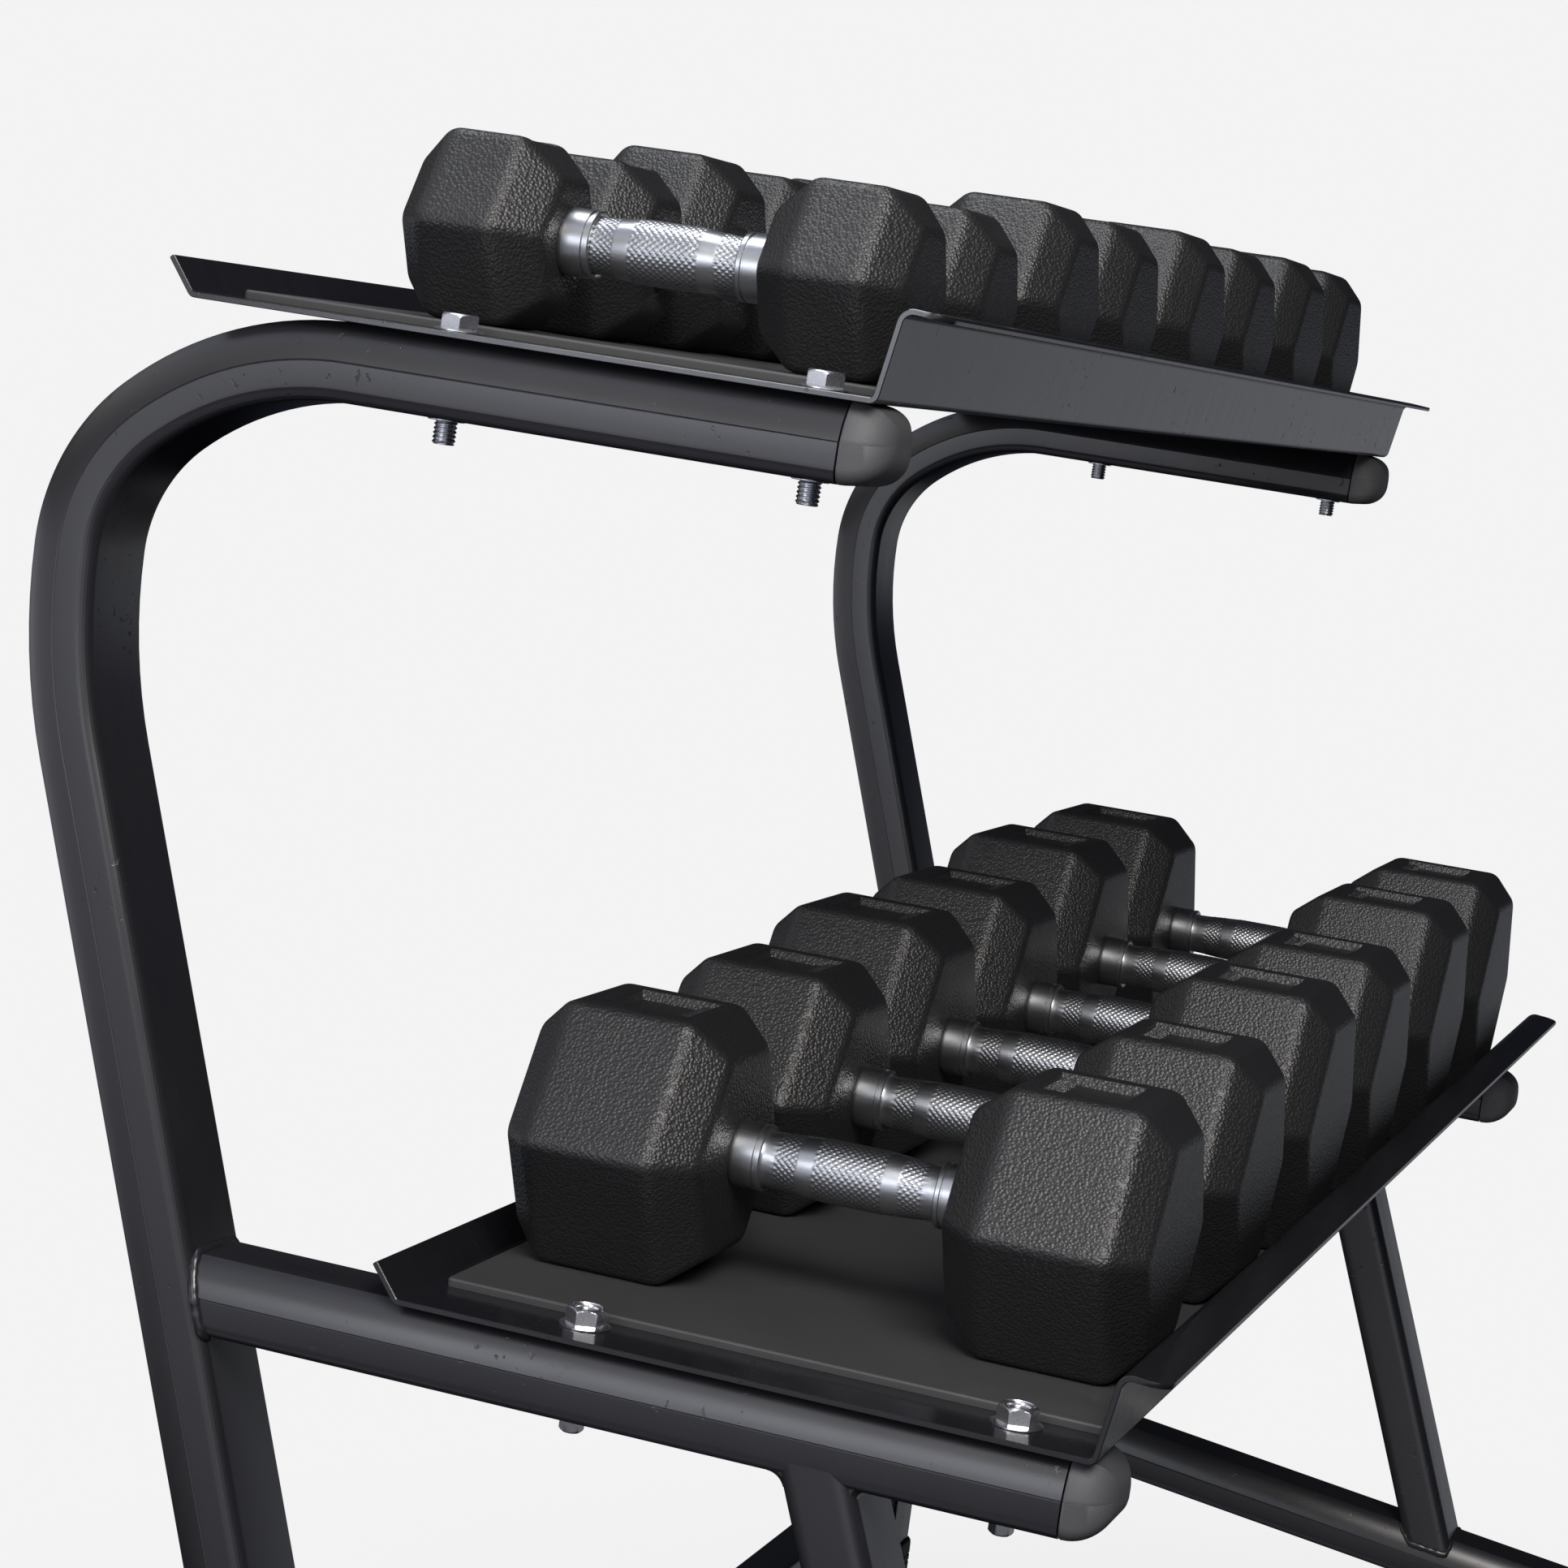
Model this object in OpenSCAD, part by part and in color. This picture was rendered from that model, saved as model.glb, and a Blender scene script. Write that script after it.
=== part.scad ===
// Two-tier dumbbell rack with six large and eight smaller hex dumbbells.
// Units are millimetres. X runs along the rack, the front faces -Y, +Z is up.

/* [Frame] */
// distance between the centre planes of the two side frames
frame_span = 1304.5; // [900:0.5:1800]
// tube width along the rack
tube_w = 60; // [40:1:80]
// tube depth in the plane of the side frame
tube_d = 40; // [30:1:60]
// corner radius on the outer or upper side of the tube
r_out = 17; // [4:0.5:18]
// corner radius on its inner or lower side
r_in = 8; // [2:0.5:12]
// corner radius of the front leg tube
leg_r = 9; // [2:0.5:12]
// tube wall thickness
wall = 2; // [1.5:0.1:4]
// depth of the front leg tube
leg_d = 36; // [25:1:50]
// rearward lean of the rear post, in degrees
post_lean = 10.6; // [0:0.1:20]
// height where the rear post starts to bend
post_top = 785.4; // [600:0.1:900]
// Y position of the post centre line at that height
post_y = 312.1; // [250:0.1:360]
// length of the straight part of the upper arm
upper_len = 258.1; // [200:0.1:400]
// downward tilt of the lower arm towards the front, in degrees
mid_tilt = 8.2; // [0:0.1:15]
// Y position of the front end of the lower arm tube
mid_y = -214; // [-300:1:-100]
// height of the centre line at that end
mid_z = 445.2; // [300:0.1:600]
// lean of the front leg, in degrees
leg_lean = 12.8; // [0:0.1:25]
// Y position of the front leg centre line where it meets the arm
leg_y = -91; // [-200:1:0]
// slope of the base rail, in degrees
rail_tilt = 15; // [5:0.5:20]
// Y position of the front end of the base rail tube
rail_y = -312; // [-400:1:-200]
// height of the base rail centre line at that end
rail_z = 28.8; // [25:0.1:60]
// bend radius of the base rail
rail_bend = 70; // [50:1:120]
// lean of the short rear leg, in degrees
rear_lean = 8; // [0:1:30]

/* [Trays] */
// length of both trays and distance between their ends
tray_len = 1363; // [900:1:1800]
// sheet thickness of the trays
sheet = 3; // [1.5:0.5:4]
// depth of the tray floor between its bends
floor_d = 364; // [250:1:450]
// height of the front lip
lip_h = 44; // [20:1:80]
// outward lean of the front lip, in degrees
lip_lean = 9.5; // [0:0.5:30]
// width of the flange on top of the front lip
flange_w = 22; // [10:1:40]
// height of the rear lip
rear_h = 18; // [10:1:40]
// outward lean of the rear lip, in degrees
rear_out = 38; // [0:1:60]
// thickness of the rubber mats
mat_t = 4.5; // [2:0.5:8]
// depth of the mats
mat_d = 347; // [200:1:420]
// gap between the end of a mat and the end of its tray
mat_in = 43; // [20:1:80]

/* [Fasteners] */
// bolt diameter
bolt_d = 12; // [8:1:16]
// distance between the two bolts of one upper arm
upper_pitch = 193; // [120:1:260]
// distance between the two bolts of one lower arm
lower_pitch = 225; // [120:1:280]
// width across the flats of the bolt heads
hex_af = 18; // [13:1:24]
// flange diameter of the bolt heads and nuts
flange_d = 26; // [18:1:34]

/* [Dumbbells] */
// hexagon size of the six large dumbbells, across flats, in pairs
big_af = [140, 153, 163];
// overall length of the large dumbbells, in pairs
big_len = [345, 355, 368];
// head length of the large dumbbells, in pairs
big_head = [108, 112, 116];
// X positions of the large dumbbells
big_x = [-532, -326, -152, 46, 268, 490];
// hexagon size of the eight smaller dumbbells, across flats, in pairs
small_af = [97, 112, 119, 124];
// overall length of the smaller dumbbells, in pairs
small_len = [274, 291, 301, 309];
// head length of the smaller dumbbells, in pairs
small_head = [80, 88, 92, 95];
// X positions of the smaller dumbbells
small_x = [-569, -436, -308, -164, -8, 150, 301, 446];
// largest diameter of the grip
grip_d = 33; // [25:0.5:40]

/* [Hidden] */
$fn = 48;
fx = frame_span / 2;
rest_gap = 0.3;

// advances a point and a heading round a bend towards the front
function turn(p, th, r, a) = p + r * [sin(th + a) - sin(th), cos(th) - cos(th + a)];
bend_r = [305.5, 97, 170.5];
th0 = 90 - post_lean;
th1 = th0 + 20;
th2 = th1 + 48.5;
up_tilt = 9.1;
th3 = 180 + up_tilt;
bend_a = [20, 48.5, th3 - th2];
p0 = [post_y, post_top];
p1 = turn(p0, th0, bend_r[0], bend_a[0]);
p2 = turn(p1, th1, bend_r[1], bend_a[1]);
p3 = turn(p2, th2, bend_r[2], bend_a[2]);
up_end = p3 + upper_len * [cos(th3), sin(th3)];
post_dir = [cos(th0), sin(th0)];

// front part of the base rail, then its bend and the short rear leg
rail_run = 534;
rail_p = [rail_y, rail_z] + rail_run * [cos(rail_tilt), sin(rail_tilt)];
rail_turn = 90 + rail_tilt - rear_lean;
rail_c = rail_p + rail_bend * [sin(rail_tilt), -cos(rail_tilt)];
leg_p = rail_c + rail_bend * [cos(rear_lean), sin(rear_lean)];
leg_low = 7;
leg_run = (leg_p[1] - leg_low) / cos(rear_lean);
cap_len = 24;
plug_len = 11;
cross_up = 72;
cross_pitch = 60;

// positions along the tilted arms, measured back from the front end of the tube
up_bolt = 20.5;
up_floor = -16;
up_mat = -6;
up_bell = 139.5;
low_bolt = 33.5;
low_floor = -14;
low_mat = -6;
low_bell = [166, 166, 171];

// rectangle with corners of radius r on its +Y side and of radius q on its -Y side
module rounded(w, d, r, q) {
  translate([-w / 2, q - d / 2])
    square([w, d - r - q]);
  translate([r - w / 2, 0])
    square([w - 2 * r, d / 2]);
  translate([q - w / 2, -d / 2])
    square([w - 2 * q, d / 2]);
  for (s = [-1, 1]) {
    translate([s * (w / 2 - r), d / 2 - r])
      circle(r, $fn = 32);
    translate([s * (w / 2 - q), q - d / 2])
      circle(q, $fn = 32);
  }
}

// rectangle with its +Y corners cut off by c and its -Y corners by e
module eight(w, d, c, e) {
  a = w / 2;
  b = d / 2;
  polygon([[-a + e, -b], [a - e, -b], [a, -b + e], [a, b - c],
           [a - c, b], [-a + c, b], [-a, b - c], [-a, -b + e]]);
}

// cross-section of the main tube; its outer side faces +Y
module section() {
  difference() {
    rounded(tube_w, tube_d, r_out, r_in);
    eight(tube_w - 2 * wall, tube_d - 2 * wall, 12, 5);
  }
}

// straight tube going up from the origin
module straight(len) {
  linear_extrude(len)
    section();
}

// bend that starts at the origin going up and turns towards -Y
module bend(r, a) {
  translate([0, -r, 0])
    rotate([90, 0, 90])
      rotate_extrude(angle = a)
        translate([r, 0])
          rotate(-90)
            section();
}

// thin ring that joins two lengths of one tube, centred on the origin
module ring() {
  translate([0, 0, -0.5])
    linear_extrude(1)
      difference() {
        rounded(tube_w + 0.1, tube_d + 0.1, r_out, r_in);
        eight(tube_w - 2 * wall - 0.1, tube_d - 2 * wall - 0.1, 12, 5);
      }
}

// local frames: Y runs back along the arm or rail, Z is its upward normal
module on_upper() {
  translate([0, up_end[0], up_end[1]])
    rotate([up_tilt, 0, 0])
      children();
}

module on_mid() {
  translate([0, mid_y, mid_z])
    rotate([mid_tilt, 0, 0])
      children();
}

module on_rail() {
  translate([0, rail_y, rail_z])
    rotate([rail_tilt, 0, 0])
      children();
}

module on_rear_leg() {
  translate([0, leg_p[0], leg_p[1]])
    rotate([rear_lean, 0, 0])
      translate([0, 0, -leg_run])
        children();
}

module at(p, a) {
  translate([0, p[0], p[1]])
    rotate([a, 0, 0])
      children();
}

// everything above the base rail, following its rounded top
module above_rail() {
  on_rail()
    difference() {
      translate([-100, -300, tube_d / 2 - 11])
        cube([200, 1500, 1500]);
      translate([0, -400, 0])
        rotate([-90, 0, 0])
          mirror([0, 1, 0])
            linear_extrude(1700)
              rounded(tube_w, tube_d, r_out - 0.6, r_in);
    }
}

module upright(side) {
  color([0.09, 0.09, 0.1])
    translate([side * fx, 0, 0])
      difference() {
        union() {
          intersection() {
            at(p0, -post_lean)
              translate([0, 0, -680])
                straight(680);
            above_rail();
          }
          at(p0, th0 - 90)
            bend(bend_r[0], bend_a[0]);
          at(p1, th1 - 90)
            bend(bend_r[1], bend_a[1]);
          at(p2, th2 - 90)
            bend(bend_r[2], bend_a[2]);
          at(p3, th3 - 90)
            straight(upper_len);
          at(p0, th0 - 90)
            ring();
          at(p1, th1 - 90)
            ring();
          at(p2, th2 - 90)
            ring();
          at(p3, th3 - 90)
            ring();
        }
        on_upper()
          for (s = [0, 1])
            translate([0, up_bolt + s * upper_pitch, 0]) {
              cylinder(d = bolt_d + 1, h = 30);
              translate([0, 0, -30])
                cylinder(d = 16, h = 30);
            }
      }
}

module mid_arm(side) {
  color([0.09, 0.09, 0.1])
    translate([side * fx, 0, 0])
      difference() {
        on_mid()
          rotate([-90, 0, 0])
            mirror([0, 1, 0])
              straight(520);
        at(p0, -post_lean)
          translate([-100, -tube_d / 2, -700])
            cube([200, 400, 900]);
        on_mid()
          for (s = [0, 1])
            translate([0, low_bolt + s * lower_pitch, -30])
              cylinder(d = bolt_d + 1, h = 60);
      }
}

module front_leg(side) {
  color([0.09, 0.09, 0.1])
    translate([side * fx, 0, 0])
      difference() {
        intersection() {
          translate([0, leg_y, mid_z])
            rotate([-leg_lean, 0, 0])
              translate([0, 0, -480])
                linear_extrude(560)
                  difference() {
                    rounded(tube_w, leg_d, leg_r, leg_r);
                    eight(tube_w - 2 * wall, leg_d - 2 * wall, 5, 5);
                  }
          above_rail();
        }
        on_mid()
          translate([-100, -400, -tube_d / 2])
            cube([200, 1000, 400]);
      }
}

module base_rail(side) {
  color([0.09, 0.09, 0.1])
    translate([side * fx, 0, 0])
      difference() {
        union() {
          on_rail()
            rotate([-90, 0, 0])
              mirror([0, 1, 0])
                straight(rail_run);
          at(leg_p, rear_lean)
            bend(rail_bend, rail_turn);
          at(leg_p, rear_lean)
            ring();
          at(rail_p, rear_lean + rail_turn)
            ring();
          on_rear_leg()
            straight(leg_run);
        }
        on_rear_leg()
          for (z = [-cross_pitch / 2, cross_pitch / 2])
            translate([-50, 0, cross_up + z])
              rotate([0, 90, 0])
                cylinder(d = 11, h = 100);
      }
}

// plastic end cap: rounded nose outside, plug inside the tube
module cap() {
  intersection() {
    translate([-tube_w / 2, 0, 0])
      rotate([90, 0, 90])
        linear_extrude(tube_w)
          nose(tube_d, cap_len, 16);
    translate([0, 0, -tube_d / 2])
      linear_extrude(tube_d)
        rotate(90)
          nose(tube_w, cap_len, 20);
    rotate([90, 0, 0])
      linear_extrude(cap_len + 1)
        rounded(tube_w, tube_d, r_out, r_in);
  }
  rotate([-90, 0, 0])
    mirror([0, 1, 0])
      linear_extrude(plug_len)
        eight(tube_w - 2 * wall - 0.6, tube_d - 2 * wall - 0.6, 12, 5);
}

// outline with two rounded corners at its -X end; its flat end is at X = 0
module nose(w, len, r) {
  translate([-len + r, -w / 2])
    square([len - r, w]);
  translate([-len, -w / 2 + r])
    square([len, w - 2 * r]);
  for (s = [-1, 1])
    translate([-len + r, s * (w / 2 - r)])
      circle(r, $fn = 32);
}

module upper_cap(side) {
  color([0.33, 0.33, 0.35])
    translate([side * fx, 0, 0])
      on_upper()
        cap();
}

module mid_cap(side) {
  color([0.33, 0.33, 0.35])
    translate([side * fx, 0, 0])
      on_mid()
        cap();
}

module base_cap(side) {
  color([0.33, 0.33, 0.35])
    translate([side * fx, 0, 0])
      on_rail()
        cap();
}

// wedge-shaped rubber pad under the front of the base rail
module front_foot(side) {
  color([0.12, 0.12, 0.12])
    translate([side * fx, 0, 0])
      difference() {
        union() {
          translate([0, rail_y + 38, 0])
            cylinder(d = 50, h = 5);
          translate([0, rail_y + 38, 0])
            cylinder(d = 42, h = 40);
        }
        on_rail()
          translate([-60, -60, -tube_d / 2])
            cube([120, 300, 100]);
      }
}

// rubber boot on the end of the rear leg
module rear_foot(side) {
  color([0.12, 0.12, 0.12])
    translate([side * fx, 0, 0])
      difference() {
        intersection() {
          on_rear_leg()
            translate([0, 0, -20])
              linear_extrude(46)
                rounded(tube_w + 7, tube_d + 7, r_out + 3, r_in + 3);
          translate([-60, 0, 0])
            cube([120, 600, 60]);
        }
        on_rear_leg()
          linear_extrude(60)
            rounded(tube_w + 0.4, tube_d + 0.4, r_out, r_in);
      }
}

module cross_tube() {
  len = frame_span - tube_w - 12;
  color([0.09, 0.09, 0.1])
    translate([-len / 2, 0, 0])
      on_rear_leg()
        translate([0, 0, cross_up])
          rotate([90, 0, 90])
            linear_extrude(len)
              difference() {
                rounded(36, 36, 5, 5);
                square([32, 32], center = true);
              }
}

module cross_plates() {
  color([0.09, 0.09, 0.1])
    for (s = [-1, 1])
      translate([s * (fx - tube_w / 2 - 3), 0, 0])
        on_rear_leg()
          translate([0, 0, cross_up])
            rotate([0, 90, 0])
              difference() {
                translate([0, 0, -3])
                  linear_extrude(6)
                    rounded(cross_pitch + 24, 36, 6, 6);
                for (z = [-cross_pitch / 2, cross_pitch / 2])
                  translate([z, 0, -5])
                    cylinder(d = 11, h = 10);
              }
}

// hex head with a round flange, facing up, bearing face at Z = 0
module hex_flange(d, af, h, bore = 0) {
  difference() {
    union() {
      cylinder(d = d, h = 2);
      cylinder(d = af / cos(30), h = h, $fn = 6);
    }
    if (bore > 0)
      translate([0, 0, -1])
        cylinder(d = bore, h = h + 2);
  }
}

module cross_bolts() {
  color([0.72, 0.73, 0.75])
    for (s = [-1, 1])
      for (z = [-cross_pitch / 2, cross_pitch / 2])
        on_rear_leg()
          translate([s * (fx + tube_w / 2), 0, cross_up + z])
            rotate([0, s * 90, 0]) {
              hex_flange(21, 15, 8);
              translate([0, 0, -tube_w - 18])
                cylinder(d = 10, h = tube_w + 19);
            }
}

module cross_nuts() {
  color([0.72, 0.73, 0.75])
    for (s = [-1, 1])
      for (z = [-cross_pitch / 2, cross_pitch / 2])
        on_rear_leg()
          translate([s * (fx - tube_w / 2 - 6), 0, cross_up + z])
            rotate([0, -s * 90, 0])
              hex_flange(21, 15, 9, 10.1);
}

// folded sheet: points along the outside of the sheet with their bend radii
function unit(v) = v / norm(v);
function left_of(v) = [-v[1], v[0]];
function corner(a, b, c, r, off, n = 5) =
  let (u = unit(b - a), v = unit(c - b))
  let (s = sign(u[0] * v[1] - u[1] * v[0]))
  let (phi = acos(u * v))
  let (t = b - u * r * tan(phi / 2))
  let (o = t + s * left_of(u) * r)
  let (a0 = atan2(-s * left_of(u)[1], -s * left_of(u)[0]))
  let (q = r - s * off)
  [for (i = [0 : n]) o + q * [cos(a0 + s * phi * i / n), sin(a0 + s * phi * i / n)]];
function sheet_side(p, r, off) =
  let (m = len(p) - 1)
  concat([p[0] + off * left_of(unit(p[1] - p[0]))],
         [for (i = [1 : m - 1]) each corner(p[i - 1], p[i], p[i + 1], r, off)],
         [p[m] + off * left_of(unit(p[m] - p[m - 1]))]);
function backwards(p) = [for (i = [len(p) - 1 : -1 : 0]) p[i]];

lip_top = [-lip_h * tan(lip_lean), lip_h];
tray_path = [
  lip_top + flange_w * [-cos(5), -sin(5)],
  lip_top,
  [0, 0],
  [floor_d, 0],
  [floor_d + rear_h * tan(rear_out), rear_h]];

module tray() {
  mid_r = 5;
  rotate([90, 0, 90])
    translate([0, 0, -tray_len / 2])
      linear_extrude(tray_len)
        polygon(concat(sheet_side(tray_path, mid_r, 0),
                       backwards(sheet_side(tray_path, mid_r, sheet))));
}

module tray_holes(first, pitch) {
  for (sx = [-1, 1])
    for (s = [0, 1])
      translate([sx * fx, first + s * pitch, 10])
        cylinder(d = bolt_d + 1, h = 25);
}

module upper_tray() {
  color([0.1, 0.1, 0.11])
    on_upper()
      difference() {
        translate([0, up_floor, tube_d / 2])
          tray();
        tray_holes(up_bolt, upper_pitch);
      }
}

module lower_tray() {
  color([0.1, 0.1, 0.11])
    on_mid()
      difference() {
        translate([0, low_floor, tube_d / 2])
          tray();
        tray_holes(low_bolt, lower_pitch);
      }
}

module mat() {
  len = tray_len - 2 * mat_in;
  translate([-len / 2, 0, tube_d / 2 + sheet])
    cube([len, mat_d, mat_t]);
}

module upper_mat() {
  color([0.2, 0.2, 0.21])
    on_upper()
      translate([0, up_mat, 0])
        mat();
}

module lower_mat() {
  color([0.2, 0.2, 0.21])
    on_mid()
      translate([0, low_mat, 0])
        mat();
}

module arm_spots(first, pitch) {
  for (sx = [-1, 1])
    for (s = [0, 1])
      translate([sx * fx, first + s * pitch, 0])
        children();
}

module upper_bolts() {
  color([0.72, 0.73, 0.75])
    on_upper()
      arm_spots(up_bolt, upper_pitch)
        translate([0, 0, tube_d / 2 + sheet]) {
          hex_flange(flange_d, hex_af, 9);
          translate([0, 0, -tube_d - sheet - 13])
            cylinder(d = bolt_d, h = tube_d + sheet + 14);
        }
}

module upper_inserts() {
  color([0.72, 0.73, 0.75])
    on_upper()
      arm_spots(up_bolt, upper_pitch)
        translate([0, 0, -tube_d / 2])
          difference() {
            union() {
              translate([0, 0, -1.2])
                cylinder(d = 19, h = 1.2);
              translate([0, 0, -1.2])
                cylinder(d = 15.8, h = 16);
            }
            translate([0, 0, -5])
              cylinder(d = bolt_d + 0.1, h = 30);
          }
}

module lower_bolts() {
  color([0.72, 0.73, 0.75])
    on_mid()
      arm_spots(low_bolt, lower_pitch)
        translate([0, 0, -tube_d / 2]) {
          rotate([180, 0, 0])
            hex_flange(20, 11, 11.5);
          translate([0, 0, -1])
            cylinder(d = bolt_d, h = tube_d + sheet + 9.5);
        }
}

module lower_nuts() {
  color([0.72, 0.73, 0.75])
    on_mid()
      arm_spots(low_bolt, lower_pitch)
        translate([0, 0, tube_d / 2 + sheet])
          hex_flange(flange_d, hex_af, 10, bolt_d + 0.1);
}

spigot_d = 26;
spigot_l = 45;
sleeve_l = 17;
outer_bev = [18, 18];
inner_bev = [22, 18];

// one rubber head, axis along Y, inner face at Y = 0, outer face at Y = a
module head(af, a) {
  d = af / cos(30);
  cut = 2 * outer_bev[1] / cos(30);
  difference() {
    rotate([-90, 0, 0])
      hull() {
        cylinder(d = d - cut, h = a, $fn = 6);
        translate([0, 0, inner_bev[0]])
          cylinder(d = d, h = a - inner_bev[0] - outer_bev[0], $fn = 6);
      }
    rotate([-90, 0, 0])
      translate([0, 0, -1])
        cylinder(d = spigot_d + 0.2, h = spigot_l + 1.5, $fn = 32);
    translate([-0.19 * af, 0.27 * a, af / 2 - 5])
      cube([0.38 * af, 0.43 * a, 10]);
  }
}

module bell_place(kind, i) {
  af = kind == "big" ? big_af[floor(i / 2)] : small_af[floor(i / 2)];
  lift = tube_d / 2 + sheet + mat_t + rest_gap + af / 2;
  if (kind == "big")
    on_mid()
      translate([big_x[i], low_bell[floor(i / 2)], lift])
        children();
  else
    on_upper()
      translate([small_x[i], up_bell, lift])
        children();
}

module heads(kind, i) {
  k = floor(i / 2);
  af = kind == "big" ? big_af[k] : small_af[k];
  a = kind == "big" ? big_head[k] : small_head[k];
  len = kind == "big" ? big_len[k] : small_len[k];
  color([0.13, 0.13, 0.13])
    bell_place(kind, i)
      for (s = [0, 1])
        mirror([0, s, 0])
          translate([0, len / 2 - a, 0])
            head(af, a);
}

module handle(kind, i) {
  k = floor(i / 2);
  a = kind == "big" ? big_head[k] : small_head[k];
  len = kind == "big" ? big_len[k] : small_len[k];
  g = len / 2 - a;
  r = spigot_d / 2;
  e = 14.5;
  s = 17.5;
  m = grip_d / 2;
  color([0.78, 0.79, 0.8])
    bell_place(kind, i)
      rotate([90, 0, 0])
        rotate_extrude($fn = 32)
          polygon([
            [0, -g - spigot_l], [r, -g - spigot_l], [r, -g], [s, -g],
            [s, -g + sleeve_l], [e, -g + sleeve_l], [m, -12], [m, 12],
            [e, g - sleeve_l], [s, g - sleeve_l], [s, g], [r, g],
            [r, g + spigot_l], [0, g + spigot_l]]);
}

upright(-1);  // left_upright
upright(1);  // right_upright
mid_arm(-1);  // left_mid_arm
mid_arm(1);  // right_mid_arm
front_leg(-1);  // left_front_leg
front_leg(1);  // right_front_leg
base_rail(-1);  // left_base_rail
base_rail(1);  // right_base_rail
upper_cap(-1);  // left_upper_cap
upper_cap(1);  // right_upper_cap
mid_cap(-1);  // left_mid_cap
mid_cap(1);  // right_mid_cap
base_cap(-1);  // left_base_cap
base_cap(1);  // right_base_cap
front_foot(-1);  // left_front_foot
front_foot(1);  // right_front_foot
rear_foot(-1);  // left_rear_foot
rear_foot(1);  // right_rear_foot
cross_tube();
cross_plates();
cross_bolts();
cross_nuts();
upper_tray();
lower_tray();
upper_mat();
lower_mat();
upper_bolts();
upper_inserts();
lower_bolts();
lower_nuts();
heads("big", 0);  // big1_heads
handle("big", 0);  // big1_handle
heads("big", 1);  // big2_heads
handle("big", 1);  // big2_handle
heads("big", 2);  // big3_heads
handle("big", 2);  // big3_handle
heads("big", 3);  // big4_heads
handle("big", 3);  // big4_handle
heads("big", 4);  // big5_heads
handle("big", 4);  // big5_handle
heads("big", 5);  // big6_heads
handle("big", 5);  // big6_handle
heads("small", 0);  // small1_heads
handle("small", 0);  // small1_handle
heads("small", 1);  // small2_heads
handle("small", 1);  // small2_handle
heads("small", 2);  // small3_heads
handle("small", 2);  // small3_handle
heads("small", 3);  // small4_heads
handle("small", 3);  // small4_handle
heads("small", 4);  // small5_heads
handle("small", 4);  // small5_handle
heads("small", 5);  // small6_heads
handle("small", 5);  // small6_handle
heads("small", 6);  // small7_heads
handle("small", 6);  // small7_handle
heads("small", 7);  // small8_heads
handle("small", 7);  // small8_handle
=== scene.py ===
"""Looks of the two-tier dumbbell rack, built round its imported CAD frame. Metres throughout."""

import math

import bmesh
import bpy
import numpy as np
from mathutils import Matrix, Vector

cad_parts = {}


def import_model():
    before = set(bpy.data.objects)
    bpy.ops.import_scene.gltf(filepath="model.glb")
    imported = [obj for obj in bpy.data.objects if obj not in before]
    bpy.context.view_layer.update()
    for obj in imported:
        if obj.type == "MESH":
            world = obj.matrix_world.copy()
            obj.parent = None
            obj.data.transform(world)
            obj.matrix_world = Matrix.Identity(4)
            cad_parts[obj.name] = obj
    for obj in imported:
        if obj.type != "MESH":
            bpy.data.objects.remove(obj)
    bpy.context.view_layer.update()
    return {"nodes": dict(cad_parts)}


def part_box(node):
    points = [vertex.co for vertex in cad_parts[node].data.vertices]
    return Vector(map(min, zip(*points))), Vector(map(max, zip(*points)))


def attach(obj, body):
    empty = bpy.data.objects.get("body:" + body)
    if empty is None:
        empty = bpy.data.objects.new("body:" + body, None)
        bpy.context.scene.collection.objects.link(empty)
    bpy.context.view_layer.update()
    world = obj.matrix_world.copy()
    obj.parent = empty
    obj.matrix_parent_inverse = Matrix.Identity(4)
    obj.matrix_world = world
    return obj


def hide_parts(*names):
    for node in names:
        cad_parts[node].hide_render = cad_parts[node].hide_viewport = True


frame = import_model()


# ---------------------------------------------------------------- driving sizes, as in part.scad
TUBE_W, TUBE_D = 0.060, 0.040
R_OUT, R_IN = 0.017, 0.008
LEG_D, LEG_R = 0.036, 0.009
LIP_H, LIP_LEAN, FLANGE_W = 0.044, math.radians(9.5), 0.022
REAR_H, REAR_OUT = 0.018, math.radians(38)
FLOOR_D, SHEET, BEND_R = 0.364, 0.003, 0.005
UP_TILT, MID_TILT, RAIL_TILT = (math.radians(a) for a in (9.1, 8.2, 15))
POST_LEAN, LEG_LEAN, REAR_LEAN = (math.radians(a) for a in (10.6, 12.8, 8))
BOLT_D, HEX_AF, FLANGE_D = 0.012, 0.018, 0.026


def middle(node):
    lo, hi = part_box(node)
    return Vector([(a + b) / 2 for a, b in zip(lo, hi)])


def node_points(node):
    me = frame["nodes"][node].data
    pts = np.empty(len(me.vertices) * 3)
    me.vertices.foreach_get("co", pts)
    mat = np.array(frame["nodes"][node].matrix_world)
    return pts.reshape(-1, 3) @ mat[:3, :3].T + mat[:3, 3]


# ---------------------------------------------------------------- materials
def tree_of(name):
    mat = bpy.data.materials.new(name)
    mat.use_nodes = True
    nt = mat.node_tree
    bsdf = nt.nodes["Principled BSDF"]
    return mat, nt, bsdf


def ramp(nt, fac, stops):
    n = nt.nodes.new("ShaderNodeValToRGB")
    els = n.color_ramp.elements
    while len(els) < len(stops):
        els.new(0.5)
    for e, (pos, col) in zip(els, stops):
        e.position = pos
        e.color = (*col, 1) if len(col) == 3 else col
    nt.links.new(fac, n.inputs[0])
    return n.outputs["Color"]


def grey(v):
    return (v, v, v)


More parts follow.
